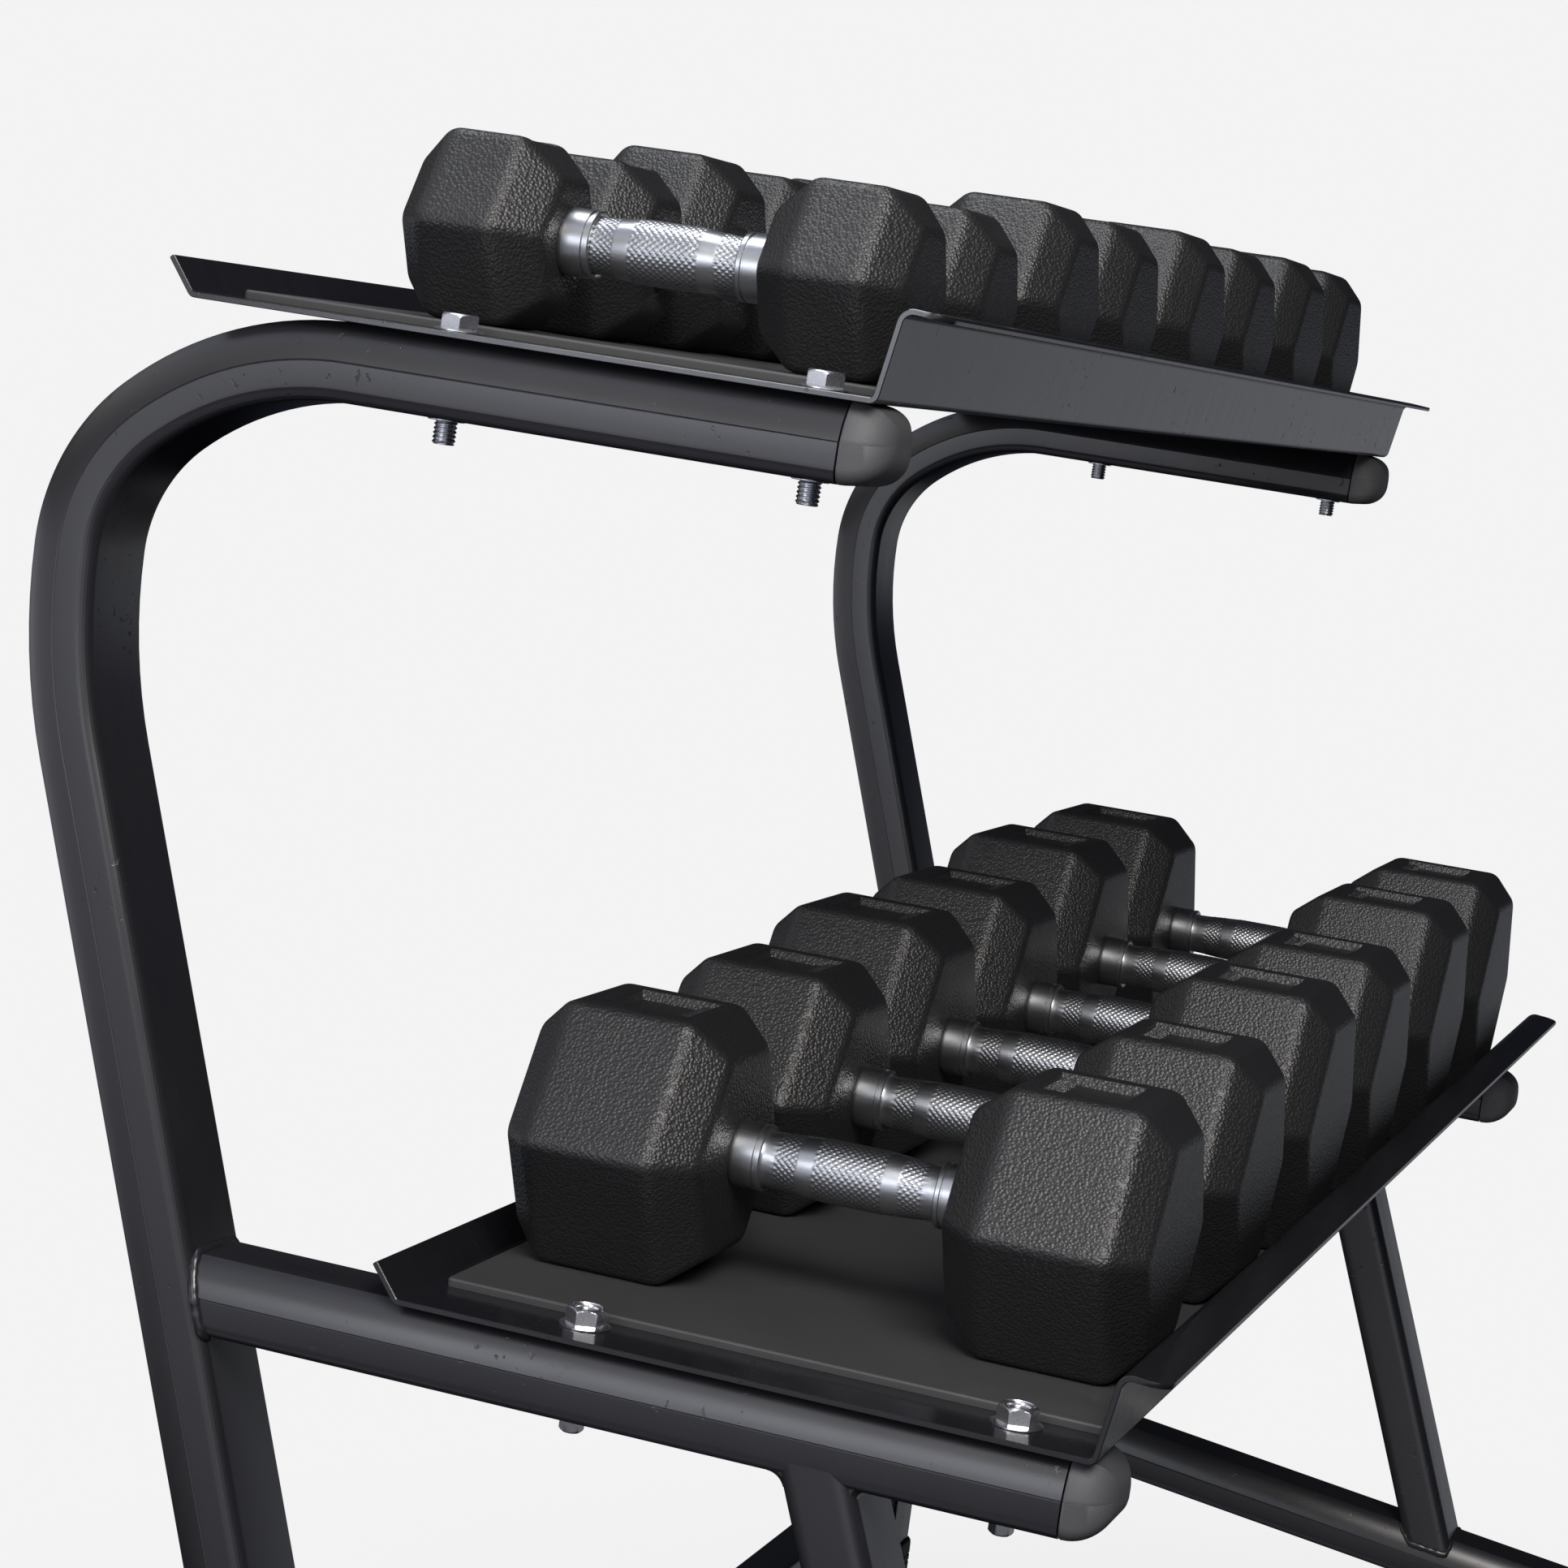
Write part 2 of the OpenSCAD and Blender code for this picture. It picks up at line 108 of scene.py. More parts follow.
def noise(nt, scale, detail=4.0, rough=0.55, stretch=None, distortion=0.0):
    coord = nt.nodes.new("ShaderNodeTexCoord")
    out = coord.outputs["Object"]
    if stretch:
        m = nt.nodes.new("ShaderNodeMapping")
        m.inputs["Scale"].default_value = stretch
        nt.links.new(out, m.inputs[0])
        out = m.outputs[0]
    n = nt.nodes.new("ShaderNodeTexNoise")
    n.inputs["Scale"].default_value = scale
    n.inputs["Detail"].default_value = detail
    n.inputs["Roughness"].default_value = rough
    n.inputs["Distortion"].default_value = distortion
    nt.links.new(out, n.inputs["Vector"])
    return n.outputs["Fac"]


def voronoi(nt, scale, feature="F1"):
    coord = nt.nodes.new("ShaderNodeTexCoord")
    n = nt.nodes.new("ShaderNodeTexVoronoi")
    n.feature = feature
    n.inputs["Scale"].default_value = scale
    nt.links.new(coord.outputs["Object"], n.inputs["Vector"])
    return n.outputs["Distance"]


def maths(nt, op, a, b, clamp=False):
    n = nt.nodes.new("ShaderNodeMath")
    n.operation = op
    n.use_clamp = clamp
    for i, v in enumerate((a, b)):
        if isinstance(v, (int, float)):
            n.inputs[i].default_value = v
        else:
            nt.links.new(v, n.inputs[i])
    return n.outputs[0]


def bump(nt, height, distance, strength=1.0, under=None):
    n = nt.nodes.new("ShaderNodeBump")
    n.inputs["Strength"].default_value = strength
    n.inputs["Distance"].default_value = distance
    nt.links.new(height, n.inputs["Height"])
    if under:
        nt.links.new(under, n.inputs["Normal"])
    return n.outputs["Normal"]


def mix_color(nt, fac, a, b):
    n = nt.nodes.new("ShaderNodeMix")
    n.data_type = "RGBA"
    for sock, v in ((n.inputs["Factor"], fac), (n.inputs["A"], a), (n.inputs["B"], b)):
        if hasattr(v, "is_linked"):
            nt.links.new(v, sock)
        elif isinstance(v, (int, float)):
            sock.default_value = v
        else:
            sock.default_value = (*v, 1)
    return n.outputs["Result"]


def paint(name, base, rough, streak):
    """Satin powder coat: fine orange peel, soft streaks along the part, small pinholes and rubbed specks."""
    mat, nt, bsdf = tree_of(name)
    broad = noise(nt, 7.0, 3.0)
    lines = noise(nt, 60.0, 5.0, 0.6, stretch=streak)
    specks = ramp(nt, noise(nt, 210.0, 2.0, 0.5), [(0.0, grey(0)), (0.67, grey(0)), (0.71, grey(1))])
    patches = ramp(nt, noise(nt, 11.0, 2.0), [(0.50, grey(0)), (0.62, grey(1))])
    rub = maths(nt, "MULTIPLY", specks, patches)
    tint = mix_color(nt, broad, tuple(c * 0.8 for c in base), tuple(c * 1.25 for c in base))
    tint = mix_color(nt, maths(nt, "MULTIPLY", lines, 0.5), tint, tuple(c * 1.9 for c in base))
    tint = mix_color(nt, maths(nt, "MULTIPLY", rub, 0.8), tint, tuple(c * 0.25 for c in base))
    nt.links.new(tint, bsdf.inputs["Base Color"])
    r = maths(nt, "MULTIPLY_ADD", lines, 0.16)
    r.node.inputs[2].default_value = rough - 0.08
    r2 = maths(nt, "ADD", r, maths(nt, "MULTIPLY", rub, 0.3), clamp=True)
    nt.links.new(r2, bsdf.inputs["Roughness"])
    peel = bump(nt, noise(nt, 520.0, 2.0), 0.00003, 0.5)
    pits = bump(nt, maths(nt, "SUBTRACT", 1.0, rub), 0.00025, 0.5, under=peel)
    nt.links.new(pits, bsdf.inputs["Normal"])
    bsdf.inputs["Specular IOR Level"].default_value = 0.8
    return mat


def rubber(name, base, rough, grain, depth, fine_share=0.35, scuffs=1.0):
    """Moulded rubber or plastic: a leathery grain of raised cells, cloudy tint and faint scuffs."""
    mat, nt, bsdf = tree_of(name)
    cells = ramp(nt, voronoi(nt, grain),
                 [(0.0, grey(1)), (0.25, grey(0.86)), (0.50, grey(0.42)), (0.75, grey(0))])
    fine = noise(nt, grain * 2.6, 3.0, 0.6)
    height = maths(nt, "ADD", maths(nt, "MULTIPLY", cells, 1 - fine_share),
                   maths(nt, "MULTIPLY", fine, fine_share))
    cloud = noise(nt, 14.0, 3.0)
    scuff = ramp(nt, noise(nt, 45.0, 6.0, 0.75), [(0.56, grey(0)), (0.72, grey(1))])
    col = mix_color(nt, cloud, tuple(c * 0.85 for c in base), tuple(c * 1.2 for c in base))
    col = mix_color(nt, maths(nt, "MULTIPLY", scuff, 0.25 * scuffs), col,
                    tuple(c * 1.8 + 0.004 for c in base))
    nt.links.new(col, bsdf.inputs["Base Color"])
    r = maths(nt, "MULTIPLY_ADD", fine, 0.08)
    r.node.inputs[2].default_value = rough - 0.04
    r = maths(nt, "ADD", r, maths(nt, "MULTIPLY", scuff, 0.06 * scuffs), clamp=True)
    nt.links.new(r, bsdf.inputs["Roughness"])
    nt.links.new(bump(nt, height, depth, 1.0), bsdf.inputs["Normal"])
    bsdf.inputs["Specular IOR Level"].default_value = 0.5
    return mat


def metal(name, base, rough, brush, spots=0.1):
    mat, nt, bsdf = tree_of(name)
    lines = noise(nt, 900.0, 3.0, 0.6, stretch=brush)
    cloud = noise(nt, 60.0, 3.0)
    spot = ramp(nt, noise(nt, 500.0, 2.0), [(0.66, grey(0)), (0.72, grey(1))])
    col = mix_color(nt, cloud, tuple(c * 0.93 for c in base), base)
    col = mix_color(nt, maths(nt, "MULTIPLY", spot, spots), col, tuple(c * 0.4 for c in base))
    nt.links.new(col, bsdf.inputs["Base Color"])
    bsdf.inputs["Metallic"].default_value = 1.0
    r = maths(nt, "MULTIPLY_ADD", lines, 0.14)
    r.node.inputs[2].default_value = rough - 0.07
    r = maths(nt, "ADD", r, maths(nt, "MULTIPLY", cloud, 0.05), clamp=True)
    nt.links.new(r, bsdf.inputs["Roughness"])
    nt.links.new(bump(nt, lines, 0.00001, 0.4), bsdf.inputs["Normal"])
    return mat


FRAME_PAINT = paint("frame_paint", (0.012, 0.012, 0.0145), 0.30, (1, 0.12, 0.12))
TRAY_PAINT = paint("tray_paint", (0.008, 0.008, 0.010), 0.20, (3.0, 1, 0.1))
CAP_PLASTIC = rubber("cap_plastic", (0.062, 0.062, 0.067), 0.60, 1500.0, 0.00005)
MAT_RUBBER = rubber("mat_rubber", (0.034, 0.034, 0.035), 0.66, 1100.0, 0.00006)
# The mat edge rubber is a lighter copy of the mat rubber: painted highlight for the line of light along the
# mat's rounded top edge.
MAT_EDGE_PAINTED_HIGHLIGHT = rubber("mat_edge_painted_highlight", (0.050, 0.050, 0.052), 0.55, 1100.0, 0.00005)
FOOT_RUBBER = rubber("foot_rubber", (0.018, 0.018, 0.018), 0.6, 700.0, 0.0001)
HEAD_RUBBER = rubber("head_coating", (0.0150, 0.0150, 0.0160), 0.40, 560.0, 0.00033, 0.15, scuffs=0.0)
ZINC = metal("zinc_hardware", (0.74, 0.75, 0.78), 0.26, (1, 1, 1))
CHROME = metal("handle_chrome", (0.50, 0.51, 0.53), 0.30, (1, 0.05, 1))
# The knurl metal is the handle steel with a darker base colour: painted shade for the shadowed pits of the
# knurled bands.
KNURL_PAINTED_SHADE = metal("handle_knurl_painted_shade", (0.40, 0.41, 0.43), 0.33, (1, 1, 1))


# ---------------------------------------------------------------- mesh helpers
def make(name, verts, faces, mats, body, nodes=(), slot=None, sharp=30, index=None):
    me = bpy.data.meshes.new(name)
    me.from_pydata([tuple(map(float, v)) for v in verts], [], [tuple(map(int, f)) for f in faces])
    for m in mats if isinstance(mats, (list, tuple)) else [mats]:
        me.materials.append(m)
    if index is not None:
        me.polygons.foreach_set("material_index", index)
    bm = bmesh.new()
    bm.from_mesh(me)
    bmesh.ops.recalc_face_normals(bm, faces=bm.faces)
    bm.to_mesh(me)
    bm.free()
    me.shade_smooth()
    me.set_sharp_from_angle(angle=math.radians(sharp))
    me.update()
    o = bpy.data.objects.new(name, me)
    bpy.context.scene.collection.objects.link(o)
    settle(o, body, nodes)
    return o


def settle(o, body, nodes):
    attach(o, body)
    if nodes:
        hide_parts(*nodes)


def grid_faces(rings, count, closed=True, offset=0):
    out = []
    for i in range(rings - 1):
        for j in range(count if closed else count - 1):
            k = (j + 1) % count
            a, b = offset + i * count, offset + (i + 1) * count
            out.append((a + j, a + k, b + k, b + j))
    return out


def outline(w, d, r_low, r_high, n=12):
    """Rounded rectangle, counter-clockwise: r_low rounds the corners at -d/2, r_high those at +d/2."""
    pts = []
    for sx, sy, r, a0 in ((1, -1, r_low, -90), (1, 1, r_high, 0), (-1, 1, r_high, 90), (-1, -1, r_low, 180)):
        cx, cy = sx * (w / 2 - r), sy * (d / 2 - r)
        for i in range(n + 1):
            a = math.radians(a0 + 90 * i / n)
            pts.append((cx + r * math.cos(a), cy + r * math.sin(a)))
    return pts


def tube_outline(groove):
    """Section of the main tube: small lower corners, and above mid height a bulging shoulder on each side.
    A fine groove marks where the shoulder meets the side and the top."""
    w, d = TUBE_W / 2, TUBE_D / 2
    side = []
    for i in range(9):
        a = math.radians(-90 + 90 * i / 8)
        side.append((w - R_IN + R_IN * math.cos(a), R_IN - d + R_IN * math.sin(a)))
    side += [(w, -groove * 1.4), (w - groove, -groove * 0.3)]
    start, middle_point, end = (w - groove * 0.6, groove), (w - 0.0030, 0.0130), (w - 0.0105, d - groove)
    for i in range(13):
        k = i / 12
        weights = ((1 - k) ** 2, 2 * k * (1 - k), k ** 2)
        side.append(tuple(sum(f * p[c] for f, p in zip(weights, (start, middle_point, end))) for c in (0, 1)))
    side += [(w - 0.0111, d - groove * 1.5), (w - 0.0119, d)]
    return side + [(-x, y) for x, y in reversed(side)]


def heading(th):
    return np.array([math.cos(th), math.sin(th)])


def outward(th):
    return np.array([math.sin(th), -math.cos(th)])


def run(path, length):
    p, th = path[-1]
    for part in (0.01, 0.5, 0.99, 1.0):
        path.append((p + length * part * heading(th), th))


def saddle(across):
    """How far the rounded top of the base rail has dropped at a distance from its middle."""
    beyond = max(0.0, abs(across) - (TUBE_W / 2 - R_OUT))
    return min(R_OUT - math.sqrt(max(0.0, R_OUT ** 2 - beyond ** 2)), 0.0105)


def tube(name, x, path, section, nodes, cut_start=None, cut_end=None, material=FRAME_PAINT,
         slot="frame_paint"):
    """Sweeps a section along a path in the YZ plane. The section's second axis points outward."""
    verts = []
    last = len(path) - 1
    rings = []
    for k, (p, th) in enumerate(path):
        ring = []
        for sx, so in section:
            q = p + so * outward(th)
            cut = cut_start if k == 0 else cut_end if k == last else None
            if cut is not None:
                point, normal = cut
                h = heading(th)
                if cut is RAIL_TOP:
                    point = point - saddle(sx) * normal
                q = q + h * (np.dot(point - q, normal) / np.dot(h, normal))
            ring.append((x + sx, q[0], q[1]))
        rings.append(ring)
        verts += ring
    n = len(section)
    faces = grid_faces(len(path), n)
    faces.append(tuple(range(n - 1, -1, -1)))
    faces.append(tuple(range(last * n, (last + 1) * n)))
    make(name, verts, faces, material, "rack", nodes, slot, sharp=10)
    return rings


def bead(name, ring, radius=0.0026):
    """Weld bead along a closed ring of points, with a light ripple."""
    pts = np.array(ring)
    mid = pts.mean(axis=0)
    gaps = np.linalg.norm(np.diff(np.vstack([pts, pts[:1]]), axis=0), axis=1)
    length = np.concatenate([[0], np.cumsum(gaps)])
    n = max(40, int(length[-1] / 0.0022))
    at = np.linspace(0, length[-1], n, endpoint=False)
    closed = np.vstack([pts, pts[:1]])
    path = np.stack([np.interp(at, length, closed[:, i]) for i in range(3)], axis=1)
    tang = np.roll(path, -1, axis=0) - np.roll(path, 1, axis=0)
    tang /= np.linalg.norm(tang, axis=1)[:, None]
    normal = np.cross(pts[len(pts) // 4] - mid, pts[0] - mid)
    normal /= np.linalg.norm(normal)
    side = np.cross(tang, normal)
    verts, around = [], 10
    for i in range(n):
        r = radius * (1 + 0.10 * math.sin(i * 1.9) + 0.05 * math.sin(i * 0.61))
        for j in range(around):
            a = 2 * math.pi * j / around
            verts.append(path[i] + r * (math.cos(a) * side[i] + math.sin(a) * normal))
    faces = grid_faces(n, around)
    end = (n - 1) * around
    faces += [(end + j, end + (j + 1) % around, (j + 1) % around, j) for j in range(around)]
    return make(name, verts, faces, FRAME_PAINT, "rack", (), "frame_paint", sharp=80)


def gusset(name, x, corner, a, b, into_a, into_b, radius):
    """Smooth fillet between two tubes: corner is where their faces cross, a and b run away along them."""
    cos_between = float(np.dot(a, b))
    half = math.acos(cos_between) / 2
    reach = radius / math.tan(half)
    bisector = (a + b) / np.linalg.norm(a + b)
    centre = corner + bisector * radius / math.sin(half)
    start, end = corner + a * reach - centre, corner + b * reach - centre
    line = []
    for i in range(13):
        k = i / 12
        v = (1 - k) * start + k * end
        line.append(centre + v / np.linalg.norm(v) * radius)
    line = [line[0] + into_a] + line + [line[-1] + into_b, corner + into_a + into_b]
    verts = []
    half_w = TUBE_W / 2 - 0.0035
    for sx, shrink in ((-half_w, -0.0030), (-half_w + 0.003, 0.0), (half_w - 0.003, 0.0), (half_w, -0.0030)):
        verts += [(x + sx, *(q + shrink * bisector)) for q in line]
    n = len(line)
    faces = grid_faces(4, n) + [tuple(range(n - 1, -1, -1)), tuple(range(3 * n, 4 * n))]
    make(name, verts, faces, FRAME_PAINT, "rack", (), "frame_paint", sharp=30)


def leg_welds(side, x, start, th):
    """Where the front leg meets the arm: a ground fillet behind it and a bead in front."""
    point, normal = MID_LOW
    along = heading(th)
    back = np.array([normal[1], -normal[0]])
    for sign, radius in ((1, 0.010), (-1, 0.003)):
        face = start + sign * LEG_D / 2 * outward(th)
        corner = face + along * (np.dot(point - face, normal) / np.dot(along, normal))
        away = back * sign
        gusset(f"{side}_leg_fillet_{'rear' if sign > 0 else 'front'}", x, corner, away, -along,
               normal * 0.0078, outward(th) * -sign * 0.0088, radius)


# ---------------------------------------------------------------- local frames of arms and rails
def local(origin, tilt, x, y, z):
    c, s = math.cos(tilt), math.sin(tilt)
    return (x, origin[0] + y * c - z * s, origin[1] + y * s + z * c)


def low_end(node, tilt):
    """Where the centre line of a sloping tube leaves its front cap: from the cap's own vertices."""
    pts = node_points(node)
    c, s = math.cos(tilt), math.sin(tilt)
    along = pts[:, 1] * c + pts[:, 2] * s
    up = -pts[:, 1] * s + pts[:, 2] * c
    start = along.min() + CAP_NOSE
    mid = (up.max() + up.min()) / 2
    return (start * c - mid * s, start * s + mid * c)


CAP_NOSE, CAP_INSIDE = 0.024, 0.0004
UP_END = low_end("left_upper_cap", UP_TILT)
MID_END = low_end("left_mid_cap", MID_TILT)
RAIL_END = low_end("left_base_cap", RAIL_TILT)
SIDES = {"left": middle("left_mid_arm").x, "right": middle("right_mid_arm").x}

SECTION = tube_outline(0.00045)
LEG_SECTION = outline(TUBE_W, LEG_D, LEG_R, LEG_R)


# ---------------------------------------------------------------- side frames
BENDS = ((0.3055, math.radians(20)), (0.097, math.radians(48.5)), (0.1705, None))
UP_LEN = 0.2581
RAIL_RUN, RAIL_BEND = 0.534, 0.070
RAIL_STEPS = 32
FOOT_GAP = 0.007
POST_REACH, ARM_REACH, LEG_REACH = 0.55, 0.40, 0.24
LEG_INTO_ARM = 0.0079


def upward(tilt):
    """Unit vector square to a part that slopes by tilt."""
    return np.array([-math.sin(tilt), math.cos(tilt)])


RAIL_TOP = (np.array(RAIL_END) + TUBE_D / 2 * upward(RAIL_TILT), upward(RAIL_TILT))
MID_LOW = (np.array(MID_END) - TUBE_D / 2 * upward(MID_TILT), upward(MID_TILT))


def back_up_path():
    """Upright path, worked backwards from the front end of the upper arm to the foot of the post."""
    path = [(np.array(UP_END), UP_TILT)]
    run(path, UP_LEN)
    turn3 = math.pi / 2 + UP_TILT + POST_LEAN - BENDS[0][1] - BENDS[1][1]
    for r, a in ((BENDS[2][0], turn3), (BENDS[1][0], BENDS[1][1]), (BENDS[0][0], BENDS[0][1])):
        p, th = path[-1]
        n = max(4, int(math.degrees(a) / 2.5))
        c = p + r * outward(th)
        for i in range(1, n + 1):
            t = th - a * i / n
            path.append((c - r * outward(t), t))
    run(path, POST_REACH)
    return path


UP_PATH = back_up_path()
POST_TOP, POST_TH = UP_PATH[-5]
POST_FRONT = (POST_TOP + TUBE_D / 2 * outward(POST_TH), outward(POST_TH))
FLIPPED = [(x, -o) for x, o in reversed(SECTION)]

for side, x in SIDES.items():
    rings = tube(side + "_upright_tube", x, UP_PATH, FLIPPED, [side + "_upright"], cut_end=RAIL_TOP)
    bead(side + "_post_weld", rings[-1])

    arm = [(np.array(MID_END), MID_TILT)]
    run(arm, ARM_REACH)
    rings = tube(side + "_mid_arm_tube", x, arm, FLIPPED, [side + "_mid_arm"], cut_end=POST_FRONT)
    bead(side + "_arm_weld", rings[-1])

    th = math.pi / 2 - LEG_LEAN
    pts = node_points(side + "_front_leg")[:, 1:]
    aside = pts @ outward(th)
    along = pts @ heading(th)
    start = (aside.min() + aside.max()) / 2 * outward(th) + (along.mean() - LEG_REACH / 2) * heading(th)
    leg = [(start, th)]
    run(leg, LEG_REACH)
    arm_up = MID_LOW[1]
    inside = (MID_LOW[0] + LEG_INTO_ARM * arm_up, arm_up)
    rings = tube(side + "_front_leg_tube", x, leg, LEG_SECTION, [side + "_front_leg"], RAIL_TOP, inside)
    leg_welds(side, x, start, th)
    bead(side + "_leg_weld_low", rings[0])

    rail = [(np.array(RAIL_END), RAIL_TILT)]
    run(rail, RAIL_RUN)
    p, th = rail[-1]
    c = p + RAIL_BEND * outward(th)
    total = math.pi / 2 + RAIL_TILT - REAR_LEAN
    for i in range(1, RAIL_STEPS + 1):
        t = RAIL_TILT - total * i / RAIL_STEPS
        rail.append((c - RAIL_BEND * outward(t), t))
    p, th = rail[-1]
    run(rail, (p[1] - FOOT_GAP) / math.cos(REAR_LEAN))
    LEG_FOOT = rail[-1]
    tube(side + "_base_rail_tube", x, rail, FLIPPED, [side + "_base_rail"])


# ---------------------------------------------------------------- caps and feet
def cap(name, node, x, origin, tilt):
    """Moulded end cap: a soft pillow that carries on the tube's section and rolls in to a flat nose."""
    rings, n_round, r = [], 14, 0.0215
    shape = tube_outline(0.0001)
    steps = [(0.0007, 0.0009), (0.0009, 0.0003), (0.0014, 0.0)]
    for i in range(n_round + 1):
        a = math.pi / 2 * i / n_round
        steps.append((CAP_NOSE - CAP_INSIDE - r + r * math.sin(a), r * (1 - math.cos(a))))
    for depth, inset in steps:
        kx, kz = 1 - inset * 0.95 / (TUBE_W / 2), 1 - inset * 0.76 / (TUBE_D / 2)
        lift = 0.10 * inset
        rings.append([local(origin, tilt, x + sx * kx, -depth, sz * kz + lift) for sx, sz in shape])
    last = rings[-1]
    mid = np.mean(last, axis=0)
    for k in (0.66, 0.33):
        rings.append([tuple(mid + k * (np.array(q) - mid)) for q in last])
    n = len(last)
    verts = [v for ring in rings for v in ring]
    faces = grid_faces(len(rings), n)
    faces.append(tuple(range((len(rings) - 1) * n, len(rings) * n)))
    make(name, verts, faces, CAP_PLASTIC, "rack", [node], "cap_plastic", sharp=40)


for side, x in SIDES.items():
    cap(side + "_upper_arm_cap", side + "_upper_cap", x, UP_END, UP_TILT)
    cap(side + "_mid_arm_cap", side + "_mid_cap", x, MID_END, MID_TILT)
    cap(side + "_rail_cap", side + "_base_cap", x, RAIL_END, RAIL_TILT)

def lathe(profile, n=64, radius=None):
    """Rings of (height, radius). radius(height index, angle, radius) may change a ring's radius."""
    verts = []
    for i, (h, r) in enumerate(profile):
        for j in range(n):
            a = 2 * math.pi * j / n
            q = radius(i, a, r) if radius else r
            verts.append((q * math.cos(a), q * math.sin(a), h))
    faces = grid_faces(len(profile), n)
    return verts, faces, n, len(profile)


def closed(verts, faces, n, rings):
    faces = faces + [tuple(range(n - 1, -1, -1)), tuple(range((rings - 1) * n, rings * n))]
    return verts, faces


def front_pad(side, x):
    """Wedge-shaped rubber foot under the front of the base rail, with a flared ribbed base."""
    lo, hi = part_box(side + "_front_foot")
    cy = (lo[1] + hi[1]) / 2
    profile = [(0.0, 0.0235), (0.0006, 0.0247), (0.0012, 0.025), (0.0042, 0.025), (0.005, 0.0246),
               (0.0054, 0.0238),
               (0.0058, 0.0225), (0.0066, 0.0213), (0.008, 0.0207)]
    top = hi[2]
    steps = 26
    for i in range(1, steps + 1):
        h = 0.008 + (top - 0.008) * i / steps
        profile.append((h, 0.0207 - 0.0004 * (i % 2)))
    verts, faces, n, rings = lathe(profile, 72)
    limit = math.tan(RAIL_TILT)
    base = RAIL_END[1] - TUBE_D / 2 / math.cos(RAIL_TILT)
    cut = []
    for px, py, pz in verts:
        ceiling = base + (cy + py - RAIL_END[0]) * limit
        cut.append((x + px, cy + py, min(pz, ceiling)))
    make(side + "_front_foot_pad", *closed(cut, faces, n, rings), FOOT_RUBBER, "rack", [side + "_front_foot"],
         "foot_rubber", sharp=35)


def rear_boot(side, x):
    """Rubber boot round the end of the rear leg, with a rolled top rim and two grooves."""
    p, th = LEG_FOOT
    up = -heading(th)
    rings = []
    wall = 0.0034
    levels = [(-0.006, wall - 0.0012), (-0.0052, wall), (0.004, wall), (0.0048, wall - 0.0007),
              (0.0058, wall - 0.0007), (0.0066, wall), (0.0105, wall), (0.0113, wall - 0.0007),
              (0.0123, wall - 0.0007), (0.0131, wall),
              (0.0215, wall - 0.0002), (0.0235, wall - 0.0006), (0.0248, wall - 0.0014), (0.0252, 0.0012),
              (0.0246, 0.0002), (0.022, 0.0002)]
    for height, grow in levels:
        ring = []
        for sx, so in outline(TUBE_W + 2 * grow, TUBE_D + 2 * grow, R_IN + grow, R_OUT + grow):
            q = p + up * height - so * outward(th)
            if height < 0:
                q = q - up * (q[1] / up[1])
                q = q + up * (0.0 if height < -0.0055 else 0.0009)
            ring.append((x + sx, q[0], max(q[1], 0.0)))
        rings.append(ring)
    n = len(rings[0])
    verts = [v for r in rings for v in r]
    faces = grid_faces(len(rings), n) + [tuple(range(n - 1, -1, -1))]
    make(side + "_rear_foot_boot", verts, faces, FOOT_RUBBER, "rack", [side + "_rear_foot"], "foot_rubber",
         sharp=35)


for side, x in SIDES.items():
    front_pad(side, x)
    rear_boot(side, x)


# ---------------------------------------------------------------- trays and mats
def folded(points, thickness_in, radius, tip, end, n=7):
    """Offset line of a folded sheet: points are its outer corners, offset to the left by thickness_in."""
    pts = [np.array(p, float) for p in points]
    unit = lambda v: v / np.linalg.norm(v)
    left = lambda v: np.array([-v[1], v[0]])
    u0 = unit(pts[1] - pts[0])
    line = [pts[0] + tip * u0 + thickness_in * left(u0)]
    for a, b, c in zip(pts, pts[1:], pts[2:]):
        u, v = unit(b - a), unit(c - b)
        turn = u[0] * v[1] - u[1] * v[0]
        s = 1 if turn > 0 else -1
        phi = math.acos(np.dot(u, v))
        t = b - u * radius * math.tan(phi / 2)
        o = t + s * left(u) * radius
        a0 = math.atan2(-s * left(u)[1], -s * left(u)[0])
        q = radius - s * thickness_in
        for i in range(n + 1):
            w = a0 + s * phi * i / n
            line.append(o + q * np.array([math.cos(w), math.sin(w)]))
    u1 = unit(pts[-1] - pts[-2])
    line.append(pts[-1] - end * u1 + thickness_in * left(u1))
    return line


LIP_TOP = np.array([-LIP_H * math.tan(LIP_LEAN), LIP_H])
FLANGE_SLOPE = math.radians(5)
TRAY_PATH = [LIP_TOP - FLANGE_W * np.array([math.cos(FLANGE_SLOPE), math.sin(FLANGE_SLOPE)]), LIP_TOP, (0, 0),
             (FLOOR_D, 0), (FLOOR_D + REAR_H * math.tan(REAR_OUT), REAR_H)]
UP_FLOOR, LOW_FLOOR = -0.016, -0.014
UP_MAT, LOW_MAT = -0.006, -0.006
MAT_D, MAT_T = 0.347, 0.0045


